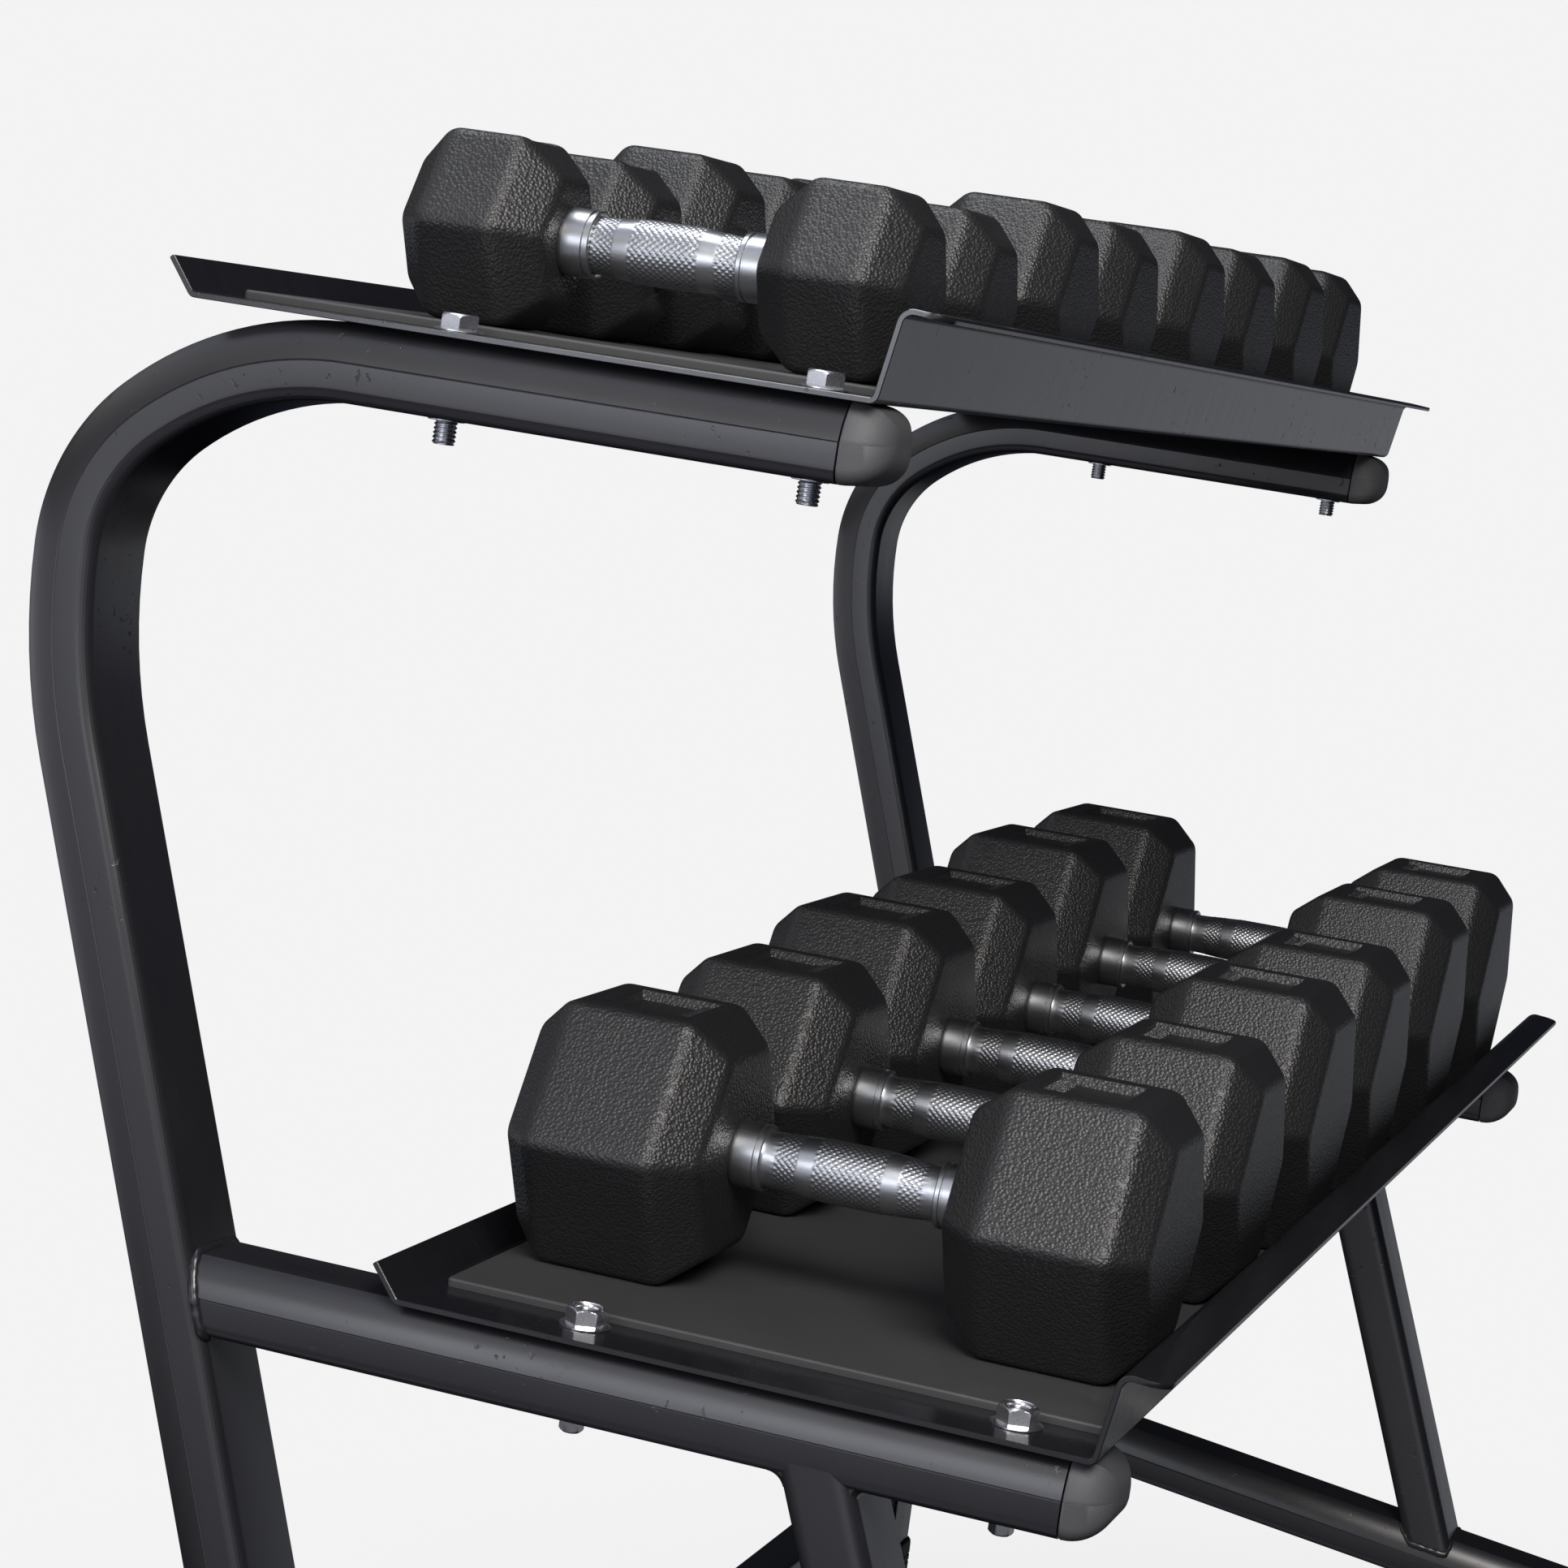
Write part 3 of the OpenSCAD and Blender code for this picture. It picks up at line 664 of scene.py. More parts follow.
def tray(name, node, origin, tilt, start):
    """Folded sheet tray with softened edges; the corners of its front flange are rounded off."""
    lo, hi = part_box(node)
    half, soft, corner = (hi[0] - lo[0]) / 2, 0.0004, 0.012
    xs = [(-half, soft), (-half + soft, 0.0)]
    xs += [(-half + corner * (1 - math.cos(math.pi / 2 * i / 9)), 0.0) for i in range(2, 10)]
    inner = [(-half + 0.02 + (2 * half - 0.04) * i / 40, 0.0) for i in range(41)]
    xs = xs + inner + [(-x, s) for x, s in reversed(xs)]
    verts = []
    for x, inset in xs:
        near = half - abs(x)
        pulled = corner - math.sqrt(max(0.0, corner ** 2 - (corner - near) ** 2)) if near < corner else 0.0
        low = folded(TRAY_PATH, inset, BEND_R, pulled + soft, soft)
        high = folded(TRAY_PATH, SHEET - inset, BEND_R, pulled + soft, soft)
        low_mid = folded(TRAY_PATH, SHEET * 0.25, BEND_R, pulled, 0)
        high_mid = folded(TRAY_PATH, SHEET * 0.75, BEND_R, pulled, 0)
        ring = low + [low_mid[-1], high_mid[-1]] + high[::-1] + [high_mid[0], low_mid[0]]
        verts += [local(origin, tilt, x, start + py, TUBE_D / 2 + pz) for py, pz in ring]
    n = len(ring)
    faces = grid_faces(len(xs), n)
    ends = [tuple(range(n - 1, -1, -1)), tuple(range((len(xs) - 1) * n, len(xs) * n))]
    make(name, verts, faces + ends, TRAY_PAINT, "rack", [node], "tray_paint", sharp=35)


def mat_slab(name, node, origin, tilt, start):
    """Rubber mat: a slab with moulded, rounded edges and slightly soft corners."""
    lo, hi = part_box(node)
    half = (hi[0] - lo[0]) / 2
    y0, y1 = start, start + MAT_D
    z0, top = TUBE_D / 2 + SHEET + 0.0001, MAT_T - 0.0001
    corner, soft, n = 0.0025, 0.0012, 6
    plan = outline(2 * half, MAT_D, corner, corner, n)
    rings = [(0.0, 0.0), (top - soft, 0.0)]
    rings += [(top - soft + soft * math.sin(math.pi / 2 * i / 5), soft * (1 - math.cos(math.pi / 2 * i / 5)))
              for i in range(1, 6)]
    verts = []
    for h, inset in rings:
        kx, ky = (half - inset) / half, (MAT_D / 2 - inset) / (MAT_D / 2)
        for px, py in plan:
            verts.append(local(origin, tilt, px * kx, (y0 + y1) / 2 + py * ky, z0 + h))
    count = len(plan)
    faces = grid_faces(len(rings), count)
    # Faces of the rounded top edge take the lighter edge rubber, a painted highlight along the edge; the side
    # wall and the flat faces keep the plain mat rubber.
    index = [0 if k < count else 1 for k in range(len(faces))]
    faces += [tuple(range(count - 1, -1, -1)), tuple(range((len(rings) - 1) * count, len(rings) * count))]
    index += [0, 0]
    make(name, verts, faces, [MAT_RUBBER, MAT_EDGE_PAINTED_HIGHLIGHT], "rack", [node], "mat_rubber", sharp=30, index=index)


tray("upper_tray_sheet", "upper_tray", UP_END, UP_TILT, UP_FLOOR)
tray("lower_tray_sheet", "lower_tray", MID_END, MID_TILT, LOW_FLOOR)
mat_slab("upper_mat_slab", "upper_mat", UP_END, UP_TILT, UP_MAT)
mat_slab("lower_mat_slab", "lower_mat", MID_END, MID_TILT, LOW_MAT)


# ---------------------------------------------------------------- fasteners
def hex_radius(af):
    def at(angle):
        a = (angle + math.pi / 6) % (math.pi / 3) - math.pi / 6
        return af / 2 / math.cos(a)
    return at


def hex_part(af, height, flange, bore, turn=0.0, n=96):
    """Flanged hex: a dished flange, flats with curved chamfers, and a hollow or a dimple on top."""
    six = hex_radius(af)
    edge = af / 2 / math.cos(math.pi / 6)
    rows = [(0.0, flange * 0.97, 0), (0.0003, flange, 0), (0.0008, flange, 0), (0.0010, flange - 0.0005, 0),
            (0.0015, edge + 0.0006, 0), (0.0019, edge, 1)]
    rows += [(0.0019 + (height - 0.0037) * i / 3, edge, 1) for i in (1, 2, 3)]
    rows += [(height - 0.0018 + 0.0018 * i / 6, edge - 0.0022 * (i / 6) ** 1.5, 1) for i in range(1, 7)]
    if bore:
        collar = bore + 0.0012
        rows += [(height - 0.0002, collar + 0.0012, 0), (height - 0.0010, collar + 0.0008, 0),
                 (height - 0.0011, collar, 0), (height - 0.0004, collar - 0.0003, 0),
                 (height - 0.0005, bore + 0.0002, 0), (height - 0.0016, bore - 0.0003, 0),
                 (height - 0.0070, bore - 0.0003, 0)]
    else:
        rows += [(height + 0.0, af / 2 * 0.80, 0), (height - 0.0003, af / 2 * 0.72, 0),
                 (height - 0.0009, af / 2 * 0.60, 0), (height - 0.0011, af / 2 * 0.30, 0),
                 (height - 0.0011, 0.0004, 0)]
    verts = []
    for h, r, kind in rows:
        for j in range(n):
            a = 2 * math.pi * j / n
            q = min(r, six(a + turn)) if kind else r
            verts.append((q * math.cos(a), q * math.sin(a), h))
    return verts, grid_faces(len(rows), n), n, len(rows)


def thread_part(diameter, length, pitch=0.0022, n=32, tip=0.001):
    """A threaded end running up from Z = 0, with a chamfered tip."""
    rows = int(length / pitch * 8)
    verts = []
    for i in range(rows + 1):
        h = length * i / rows
        for j in range(n):
            phase = (h / pitch - j / n) % 1
            depth = 0.00110 * (1 - abs(2 * phase - 1))
            r = diameter / 2 - depth
            if h > length - tip:
                r = min(r, diameter / 2 - (h - length + tip) * 0.9)
            a = 2 * math.pi * j / n
            verts.append((r * math.cos(a), r * math.sin(a), h))
    return verts, grid_faces(rows + 1, n), n, rows + 1


def merged(parts):
    verts, faces = [], []
    for (v, f, n, rings), offset, flip in parts:
        base = len(verts)
        sign = -1 if flip else 1
        verts += [(px, py * sign, offset + pz * sign) for px, py, pz in v]
        faces += [tuple(k + base for k in face) for face in f]
        faces.append(tuple(base + k for k in range(n - 1, -1, -1)))
        faces.append(tuple(base + k for k in range((rings - 1) * n, rings * n)))
    return verts, faces


def place_all(name, nodes, spots, origin, tilt, parts, slot="zinc_hardware"):
    """One object with a copy of the parts at each spot of an arm; each is turned a little differently."""
    verts, faces = [], []
    for k, (x, y) in enumerate(spots):
        v, f = merged(parts)
        spin = 0.35 + 1.1 * k
        base = len(verts)
        for px, py, pz in v:
            rx = px * math.cos(spin) - py * math.sin(spin)
            ry = px * math.sin(spin) + py * math.cos(spin)
            verts.append(local(origin, tilt, x + rx, y + ry, pz))
        faces += [tuple(i + base for i in face) for face in f]
    make(name, verts, faces, ZINC, "rack", nodes, slot, sharp=28)


UP_BOLT, UP_PITCH = 0.0205, 0.193
LOW_BOLT, LOW_PITCH = 0.0335, 0.225
upper_spots = [(x, UP_BOLT + k * UP_PITCH) for x in SIDES.values() for k in (0, 1)]
lower_spots = [(x, LOW_BOLT + k * LOW_PITCH) for x in SIDES.values() for k in (0, 1)]
DECK = TUBE_D / 2 + SHEET
place_all("upper_bolt_set", ["upper_bolts"], upper_spots, UP_END, UP_TILT,
          [(hex_part(HEX_AF, 0.009, FLANGE_D / 2, 0, math.pi / 6), DECK, False),
           (thread_part(BOLT_D, TUBE_D + SHEET + 0.013), DECK, True)])
rim = [(0.0, 0.0092), (0.0002, 0.0095), (0.0009, 0.0095), (0.0012, 0.0092), (0.0012, 0.0066),
       (0.0006, 0.0061),
       (-0.004, 0.0061)]
place_all("upper_insert_set", ["upper_inserts"], upper_spots, UP_END, UP_TILT,
          [(lathe(rim, 64), -TUBE_D / 2, True)])
place_all("lower_nut_set", ["lower_nuts"], lower_spots, MID_END, MID_TILT,
          [(hex_part(HEX_AF, 0.010, FLANGE_D / 2, BOLT_D / 2), DECK, False)])
place_all("lower_bolt_set", ["lower_bolts"], lower_spots, MID_END, MID_TILT,
          [(hex_part(0.011, 0.0115, 0.010, 0), -TUBE_D / 2, True),
           (thread_part(BOLT_D - 0.0008, TUBE_D + SHEET + 0.0083), -TUBE_D / 2, False)])


# ---------------------------------------------------------------- rear cross member
CROSS_UP, CROSS_PITCH = 0.072, 0.060


def leg_local(x, y, z):
    """A point of the rear leg's frame: Z runs up the leg from its foot, Y towards the back."""
    p, th = LEG_FOOT
    q = p - heading(th) * z - outward(th) * y
    return (x, q[0], q[1])


def cross_member():
    lo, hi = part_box("cross_tube")
    section = outline(0.036, 0.036, 0.005, 0.005)
    rings = []
    half = (hi[0] - lo[0]) / 2
    for x in [-half] + [half * (i / 12 - 1) for i in range(1, 24)] + [half]:
        rings.append([leg_local(x, sy, CROSS_UP + sz) for sy, sz in section])
    n = len(section)
    verts = [v for r in rings for v in r]
    faces = grid_faces(len(rings), n) + [tuple(range(n - 1, -1, -1)),
                                         tuple(range((len(rings) - 1) * n, len(rings) * n))]
    make("cross_tube_body", verts, faces, FRAME_PAINT, "rack", ["cross_tube"], "frame_paint", sharp=40)
    plate_verts, plate_faces = [], []
    for s in (-1, 1):
        x_mid = s * (SIDES["right"] - TUBE_W / 2 - 0.003)
        base = len(plate_verts)
        shape = outline(0.036, CROSS_PITCH + 0.024, 0.006, 0.006)
        for dx, inset in ((-0.003, 0.0005), (-0.0025, 0), (0.0025, 0), (0.003, 0.0005)):
            for sy, sz in shape:
                k = 1 - inset / 0.018
                plate_verts.append(leg_local(x_mid + dx, sy * k, CROSS_UP + sz * (1 - inset / 0.042)))
        m = len(shape)
        plate_faces += grid_faces(4, m, offset=base)
        plate_faces.append(tuple(base + k for k in range(m - 1, -1, -1)))
        plate_faces.append(tuple(base + 3 * m + k for k in range(m)))
    make("cross_plate_pair", plate_verts, plate_faces, FRAME_PAINT, "rack", ["cross_plates"], "frame_paint",
         sharp=40)
    ring = [leg_local(-half, sy, CROSS_UP + sz) for sy, sz in section]
    bead("cross_weld_left", ring, 0.0022)
    bead("cross_weld_right", [leg_local(half, sy, CROSS_UP + sz) for sy, sz in section], 0.0022)


def cross_fasteners():
    for name, node, offset, part in (
            ("cross_bolt_set", "cross_bolts", TUBE_W / 2, hex_part(0.015, 0.008, 0.0105, 0)),
            ("cross_nut_set", "cross_nuts", -TUBE_W / 2 - 0.006, hex_part(0.015, 0.009, 0.0105, 0.005))):
        verts, faces = [], []
        for s in (-1, 1):
            for dz in (-CROSS_PITCH / 2, CROSS_PITCH / 2):
                outside = 1 if offset > 0 else -1
                pieces = [(part, 0.0, False)]
                if offset > 0:
                    pieces.append((thread_part(0.010, TUBE_W + 0.018), 0.0, True))
                v, f = merged(pieces)
                base = len(verts)
                for px, py, pz in v:
                    across = s * (SIDES["right"] + offset + outside * pz)
                    verts.append(leg_local(across, py, CROSS_UP + dz + px))
                faces += [tuple(i + base for i in face) for face in f]
        make(name, verts, faces, ZINC, "rack", [node], "zinc_hardware", sharp=28)


cross_member()
cross_fasteners()


# ---------------------------------------------------------------- dumbbells
SPIGOT_R, SLEEVE_R, SLEEVE_L = 0.013, 0.0175, 0.017
BEVEL_OUT, BEVEL_IN = (0.018, 0.018), (0.022, 0.018)
FLAT_STEPS = (0.0, 0.0007, 0.0013, 0.0019, 0.0026)


def fillet(points, radii, n=5):
    """Rounds the corners of an open polyline."""
    out = [np.array(points[0], float)]
    for a, b, c, r in zip(points, points[1:], points[2:], radii):
        a, b, c = (np.array(p, float) for p in (a, b, c))
        u, v = (b - a) / np.linalg.norm(b - a), (c - b) / np.linalg.norm(c - b)
        phi = math.acos(max(-1.0, min(1.0, float(np.dot(u, v)))))
        t = min(r * math.tan(phi / 2), 0.45 * np.linalg.norm(b - a), 0.45 * np.linalg.norm(c - b))
        p, q = b - u * t, b + v * t
        for i in range(n + 1):
            k = i / n
            out.append((1 - k) ** 2 * p + 2 * k * (1 - k) * b + k ** 2 * q)
    out.append(np.array(points[-1], float))
    return out


def smooth(t):
    t = max(0.0, min(1.0, t))
    return t * t * (3 - 2 * t)


def head_mesh(af, a):
    """Both rounded hex heads copy this one: axis along Y, inner face at 0, pocket on its top flat."""
    r_hex, ap = af / 2, af / 2
    pocket_w, pocket_0, pocket_1, pocket_deep = 0.19 * af, 0.27 * a, 0.70 * a, 0.0049
    corners = [(a, 0.0006), (a, ap - BEVEL_OUT[1]), (a - BEVEL_OUT[0], ap), (BEVEL_IN[0], ap),
               (0.0, ap - BEVEL_IN[1]), (0.0, SPIGOT_R)]
    line = fillet(corners, (0.010, 0.013, 0.013, 0.010), 6)
    axial = []
    for (y0, r0), after in zip(line, line[1:]):
        y1 = after[0]
        axial.append((y0, r0))
        if y0 - y1 > 0.02:
            marks = set()
            for edge, sign in ((pocket_1, -1), (pocket_0, 1)):
                for step in FLAT_STEPS:
                    marks.add(round(edge + sign * step, 6))
            count = 7
            floor_0, floor_1 = pocket_0 + FLAT_STEPS[-1], pocket_1 - FLAT_STEPS[-1]
            marks |= {round(floor_0 + (floor_1 - floor_0) * i / count, 6) for i in range(1, count)}
            axial += [(m, ap) for m in sorted(marks, reverse=True) if y1 < m < y0]
    axial.append(tuple(line[-1]))
    rc = 0.0075
    half = (r_hex - rc) * math.tan(math.pi / 6)
    stops = [-half] + [-pocket_w + s for s in FLAT_STEPS] + [-pocket_w * k for k in (0.6, 0.2)]
    stops = stops + [-t for t in reversed(stops)]
    verts = []
    for y, r in axial:
        q = min(rc, r * 0.98)
        scale = (r - q) * math.tan(math.pi / 6) / half
        for f in range(6):
            phi = math.radians(90 + 60 * f)
            nx, nz = math.cos(phi), math.sin(phi)
            tx, tz = -nz, nx
            for t in stops:
                drop = 0.0
                if f == 0:
                    inside = min(smooth((pocket_w - abs(t)) / FLAT_STEPS[-1]),
                                 smooth((y - pocket_0) / FLAT_STEPS[-1]),
                                 smooth((pocket_1 - y) / FLAT_STEPS[-1]))
                    drop = pocket_deep * inside
                verts.append((nx * (r - drop) + tx * t * scale, y, nz * (r - drop) + tz * t * scale))
            cx = math.cos(phi + math.pi / 6) * (r - q) / math.cos(math.pi / 6)
            cz = math.sin(phi + math.pi / 6) * (r - q) / math.cos(math.pi / 6)
            for i in range(1, 7):
                w = phi + math.pi / 3 * i / 7
                verts.append((cx + q * math.cos(w), y, cz + q * math.sin(w)))
    n = len(stops) * 6 + 36
    faces = grid_faces(len(axial), n)
    faces.append(tuple(range(n)))
    teeth = 13
    for i in range(teeth):
        x = pocket_w * (-0.80 + 1.6 * i / (teeth - 1))
        w, top = pocket_w * 0.030, ap - pocket_deep + 0.0026
        y0, y1 = pocket_0 + 0.0022, pocket_0 + 0.0105
        base = len(verts)
        for y, h in ((y0, top), (y1 - 0.002, top), (y1, ap - pocket_deep + 0.0004)):
            for dx, dz in ((-w * 1.7, -0.004), (-w, -0.0002), (-w * 0.5, 0.0003), (w * 0.5, 0.0003),
                           (w, -0.0002),
                           (w * 1.7, -0.004)):
                verts.append((x + dx, y, h + dz))
        faces += grid_faces(3, 6, closed=False, offset=base)
        faces.append(tuple(base + k for k in range(6)))
    return verts, faces


def copies(verts, faces, inner):
    """The two heads of one dumbbell: the mesh moved out along +Y, and its mirror image along -Y."""
    out_v, out_f = [], []
    for s in (1, -1):
        base = len(out_v)
        out_v += [(x, s * (y + inner), z) for x, y, z in verts]
        out_f += [tuple(base + k for k in (face if s > 0 else face[::-1])) for face in faces]
    return out_v, out_f


def handle_mesh(g):
    """Knurled grip that swells to the middle, a sleeve and bright ring at each end. g is half the gap."""
    n = 180
    diamonds = 30
    bar_end = g - SLEEVE_L
    bands = []
    middle_half, gap, side_band = 0.019, 0.0085, 0.0130
    for lo, hi in ((-middle_half, middle_half), (middle_half + gap, middle_half + gap + side_band),
                   (-middle_half - gap - side_band, -middle_half - gap)):
        bands.append((lo, hi))

    def bar(y):
        k = max(0.0, min(1.0, (bar_end - abs(y)) / (bar_end - 0.012)))
        return 0.0145 + 0.002 * smooth(k)

    rows = []
    half = [(g, 0.0130), (g, SLEEVE_R - 0.0004), (g - 0.0006, SLEEVE_R), (g - 0.0025, SLEEVE_R),
            (g - SLEEVE_L + 0.0042, SLEEVE_R), (g - SLEEVE_L + 0.0038, SLEEVE_R - 0.0009),
            (g - SLEEVE_L + 0.0030, SLEEVE_R - 0.0009), (g - SLEEVE_L + 0.0026, SLEEVE_R),
            (g - SLEEVE_L + 0.0006, SLEEVE_R), (g - SLEEVE_L, SLEEVE_R - 0.0006),
            (g - SLEEVE_L - 0.0001, SLEEVE_R - 0.0020), (g - SLEEVE_L + 0.0002, 0.0146)]
    rows += half
    step = 0.00070
    y = bar_end - 0.0004
    edge = middle_half + gap + side_band
    while y > edge + 0.001:
        rows.append((y, bar(y)))
        y -= 0.0035
    count = int(edge / step)
    rows += [(edge * (1 - i / count), None) for i in range(count)]
    rows = rows + [(0.0, None)] + [(-h, r) for h, r in reversed(rows)]
    verts, index = [], []
    pitch = 2 * math.pi * 0.0163 / diamonds
    for h, r in rows:
        depth = 0.0
        if r is None:
            r = bar(h)
            for lo, hi in bands:
                if lo < h < hi:
                    depth = 0.00065 * smooth(min(h - lo, hi - h) / 0.0011)
        for j in range(n):
            a = 2 * math.pi * j / n
            q = r
            if depth:
                u = (diamonds * j / n + h / (1.15 * pitch)) % 1
                v = (diamonds * j / n - h / (1.15 * pitch)) % 1
                ridge = 1 - max(abs(2 * u - 1), abs(2 * v - 1)) ** 2.2
                q = r - 0.00030 * depth / 0.00065 + depth * (ridge - 0.2)
            verts.append((q * math.cos(a), h, q * math.sin(a)))
    faces = grid_faces(len(rows), n)
    # Knurled rows take the darker knurl metal, which is painted shade for the knurl's pits; the other rows
    # keep the plain chrome.
    for i in range(len(rows) - 1):
        mid = (rows[i][0] + rows[i + 1][0]) / 2
        knurled = any(lo < mid < hi for lo, hi in bands)
        index += [1 if knurled else 0] * n
    faces += [tuple(range(n)), tuple(range(len(rows) * n - 1, (len(rows) - 1) * n - 1, -1))]
    index += [0, 0]
    return verts, faces, index


def mesh_of(name, verts, faces, mats, sharp, index=None):
    o = make(name, verts, faces, mats, "rack", sharp=sharp, index=index)
    me = o.data
    bpy.data.objects.remove(o)
    return me


MESHES = {}


def dumbbell(name, tilt):
    """Heads and handle of one dumbbell, sized and placed by its own CAD nodes."""
    heads, handle = name + "_heads", name + "_handle"
    at = middle(handle)
    turn = Matrix.Rotation(tilt, 4, "X")
    frame_here = Matrix.Translation(at) @ turn
    back = np.array(turn.inverted().to_3x3())
    pts = (node_points(heads) - np.array(at)) @ back.T
    af = (pts[:, 0].max() - pts[:, 0].min()) * math.cos(math.pi / 6)
    reach, inner = abs(pts[:, 1]).max(), abs(pts[:, 1]).min()
    key = (round(af, 4), round(reach, 4))
    if key not in MESHES:
        a = reach - inner
        verts, faces = copies(*head_mesh(af, a), inner)
        head = mesh_of(name + "_head_mesh", verts, faces, [HEAD_RUBBER], 50)
        bar = mesh_of(name + "_bar_mesh", *handle_mesh(inner)[:2], [CHROME, KNURL_PAINTED_SHADE], 40, handle_mesh(inner)[2])
        MESHES[key] = head, bar
    head, bar = MESHES[key]
    for piece, me, node, slot in ((name + "_head_pair", head, heads, "head_coating"),
                                  (name + "_grip", bar, handle, "handle_chrome")):
        placed = me.copy()
        placed.transform(frame_here)
        o = bpy.data.objects.new(piece, placed)
        bpy.context.scene.collection.objects.link(o)
        settle(o, name, [node])


for i in range(1, 7):
    dumbbell(f"big{i}", MID_TILT)
for i in range(1, 9):
    dumbbell(f"small{i}", UP_TILT)


# ---------------------------------------------------------------- camera, floor and light
def camera():
    cam = bpy.data.cameras.new("camera")
    cam.lens = 85
    cam.sensor_width = 36
    cam.clip_end = 50
    o = bpy.data.objects.new("camera", cam)
    bpy.context.scene.collection.objects.link(o)
    o.location = (-2.3382, -0.653, 0.900)
    o.rotation_euler = Vector((0.94224, 0.32783, -0.06856)).to_track_quat("-Z", "Y").to_euler()
    bpy.context.scene.camera = o


PALE = 0.896


def floor():
    """Pale floor that fades into the backdrop away from the rack, and takes a soft shadow near it."""
    mat, nt, bsdf = tree_of("floor")
    glow = nt.nodes.new("ShaderNodeEmission")
    glow.inputs["Color"].default_value = (1, 1, 1, 1)
    coord = nt.nodes.new("ShaderNodeTexCoord")
    far = nt.nodes.new("ShaderNodeVectorMath")
    far.operation = "LENGTH"
    nt.links.new(coord.outputs["Object"], far.inputs[0])
    share = ramp(nt, maths(nt, "MULTIPLY", far.outputs["Value"], 0.5), [(0.30, grey(1)), (0.62, grey(0))])
    nt.links.new(maths(nt, "SUBTRACT", PALE, maths(nt, "MULTIPLY", share, 0.06)), glow.inputs["Strength"])
    nt.links.new(mix_color(nt, share, grey(0), grey(0.10)), bsdf.inputs["Base Color"])
    bsdf.inputs["Roughness"].default_value = 1.0
    bsdf.inputs["Specular IOR Level"].default_value = 0.0
    both = nt.nodes.new("ShaderNodeAddShader")
    nt.links.new(bsdf.outputs[0], both.inputs[0])
    nt.links.new(glow.outputs[0], both.inputs[1])
    nt.links.new(both.outputs[0], nt.nodes["Material Output"].inputs["Surface"])
    me = bpy.data.meshes.new("floor")
    size = 6.0
    corners = [(-size, -size, 0), (size, -size, 0), (size, size, 0), (-size, size, 0)]
    me.from_pydata(corners, [], [(0, 1, 2, 3)])
    me.materials.append(mat)
    o = bpy.data.objects.new("floor", me)
    bpy.context.scene.collection.objects.link(o)
    o.visible_glossy = False
    o.visible_diffuse = False


def direction_share(nt, coord, direction):
    """1 where a ray leaves along the direction, 0.5 across it and 0 against it."""
    dot = nt.nodes.new("ShaderNodeVectorMath")
    dot.operation = "DOT_PRODUCT"
    nt.links.new(coord.outputs["Generated"], dot.inputs[0])
    dot.inputs[1].default_value = Vector(direction).normalized()
    share = maths(nt, "MULTIPLY_ADD", dot.outputs["Value"], 0.5)
    share.node.inputs[2].default_value = 0.5
    return share


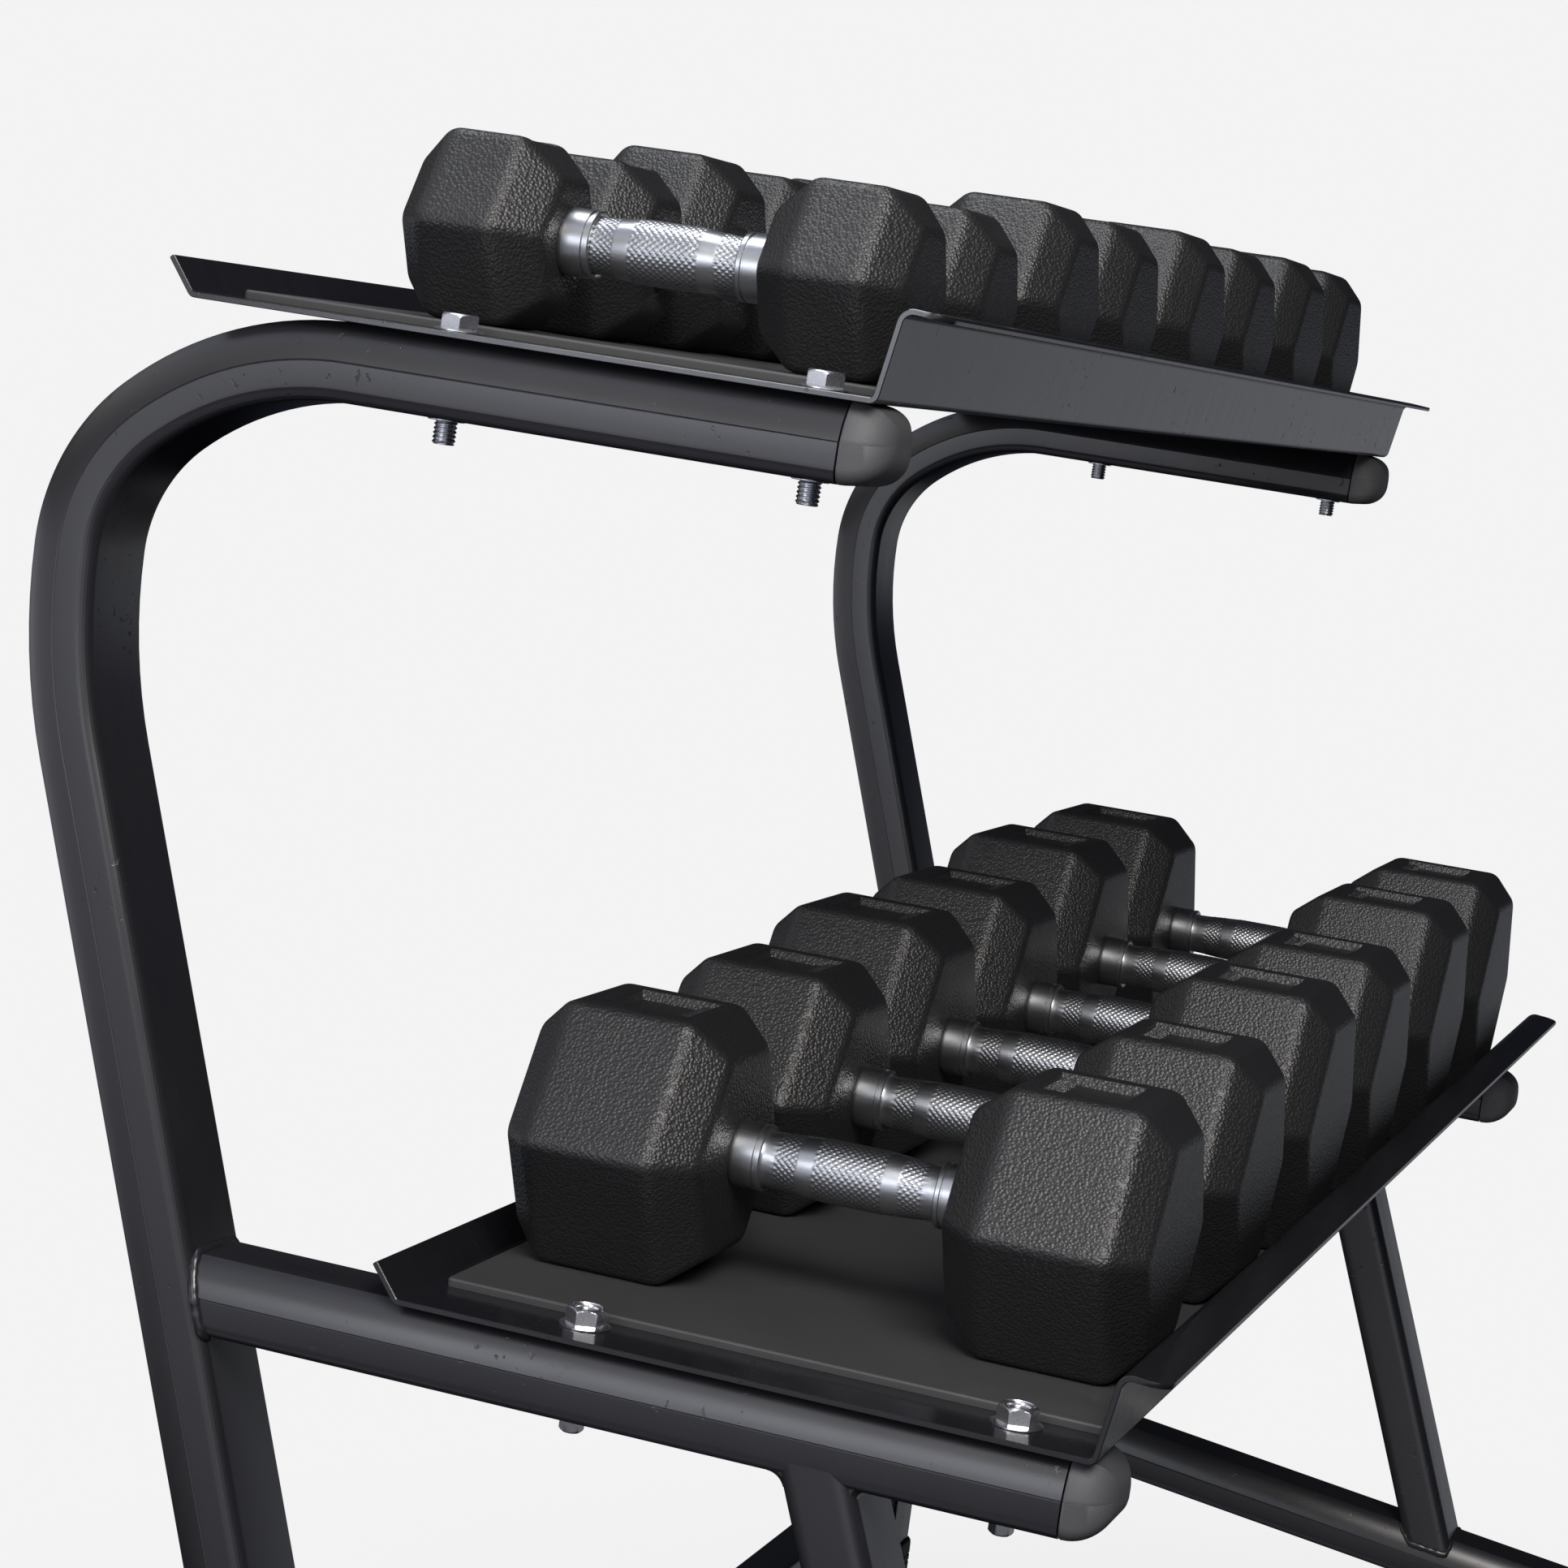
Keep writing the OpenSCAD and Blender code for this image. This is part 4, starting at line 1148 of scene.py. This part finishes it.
def world():
    """Pale for the camera; a dim studio with soft bands of light for reflections and fill."""
    w = bpy.data.worlds.new("studio")
    bpy.context.scene.world = w
    w.use_nodes = True
    nt = w.node_tree
    back = nt.nodes["Background"]
    coord = nt.nodes.new("ShaderNodeTexCoord")
    split = nt.nodes.new("ShaderNodeSeparateXYZ")
    nt.links.new(coord.outputs["Generated"], split.inputs[0])
    height = maths(nt, "MULTIPLY_ADD", split.outputs["Z"], 0.5)
    height.node.inputs[2].default_value = 0.5
    up = ramp(nt, height, [(0.0, (0.22, 0.22, 0.25)), (0.13, (0.26, 0.26, 0.30)), (0.24, (0.03, 0.03, 0.035)),
                           (0.34, (0.02, 0.02, 0.02)), (0.42, (0.62, 0.62, 0.68)), (0.53, (0.74, 0.74, 0.80)),
                           (0.59, (0.09, 0.09, 0.10)), (0.67, (0.12, 0.11, 0.11)), (0.76, (0.62, 0.58, 0.54)),
                           (0.87, (0.66, 0.70, 0.80)), (0.94, (0.40, 0.44, 0.54)),
                           (0.975, (0.10, 0.11, 0.15)),
                           (1.0, (0.03, 0.035, 0.05))])
    toward = direction_share(nt, coord, (-0.80, 0.60, 0.0))
    dim = ramp(nt, toward, [(0.0, (0.035, 0.04, 0.055)), (0.40, (0.05, 0.055, 0.07)),
                            (0.52, (0.26, 0.29, 0.34)),
                            (0.68, grey(1.0))])
    studio = nt.nodes.new("ShaderNodeMix")
    studio.data_type = "RGBA"
    studio.blend_type = "MULTIPLY"
    studio.inputs["Factor"].default_value = 1.0
    nt.links.new(up, studio.inputs["A"])
    nt.links.new(dim, studio.inputs["B"])
    rim = ramp(nt, direction_share(nt, coord, (0.92, -0.33, -0.20)), [(0.955, grey(0)), (0.99, grey(1))])
    below = ramp(nt, height, [(0.475, grey(1)), (0.497, grey(0))])
    rim_light = maths(nt, "MULTIPLY", maths(nt, "MULTIPLY", rim, below), 0.30)
    lit = nt.nodes.new("ShaderNodeMix")
    lit.data_type = "RGBA"
    lit.blend_type = "ADD"
    nt.links.new(rim_light, lit.inputs["Factor"])
    nt.links.new(studio.outputs["Result"], lit.inputs["A"])
    lit.inputs["B"].default_value = (0.92, 0.95, 1.0, 1)
    lit.clamp_factor = False
    nt.links.new(lit.outputs["Result"], back.inputs["Color"])
    back.inputs["Strength"].default_value = 1.0
    pale = nt.nodes.new("ShaderNodeBackground")
    pale.inputs["Color"].default_value = (1, 1, 1, 1)
    pale.inputs["Strength"].default_value = PALE
    path = nt.nodes.new("ShaderNodeLightPath")
    choose = nt.nodes.new("ShaderNodeMixShader")
    nt.links.new(path.outputs["Is Camera Ray"], choose.inputs[0])
    nt.links.new(back.outputs[0], choose.inputs[1])
    nt.links.new(pale.outputs[0], choose.inputs[2])
    nt.links.new(choose.outputs[0], nt.nodes["World Output"].inputs["Surface"])


def softbox(name, at, aim, size, power, color=(1, 1, 1)):
    data = bpy.data.lights.new(name, "AREA")
    data.shape = "RECTANGLE"
    data.size, data.size_y = size
    data.energy = power
    data.color = color
    o = bpy.data.objects.new(name, data)
    bpy.context.scene.collection.objects.link(o)
    o.location = at
    o.rotation_euler = (Vector(aim) - Vector(at)).to_track_quat("-Z", "Y").to_euler()
    o.visible_camera = False


camera()
floor()
world()
softbox("key", (-2.3, -1.3, 2.3), (0, 0, 0.7), (1.3, 1.3), 82, (1.0, 0.96, 0.92))
softbox("top", (-0.4, 0.2, 3.0), (0, 0, 0.7), (1.2, 0.8), 22, (0.95, 0.97, 1.0))
softbox("left", (-3.2, 0.6, 1.5), (0, 0, 0.6), (1.5, 1.0), 16, (0.85, 0.9, 1.0))
view = bpy.context.scene.view_settings
view.view_transform = "Standard"
view.look = "None"
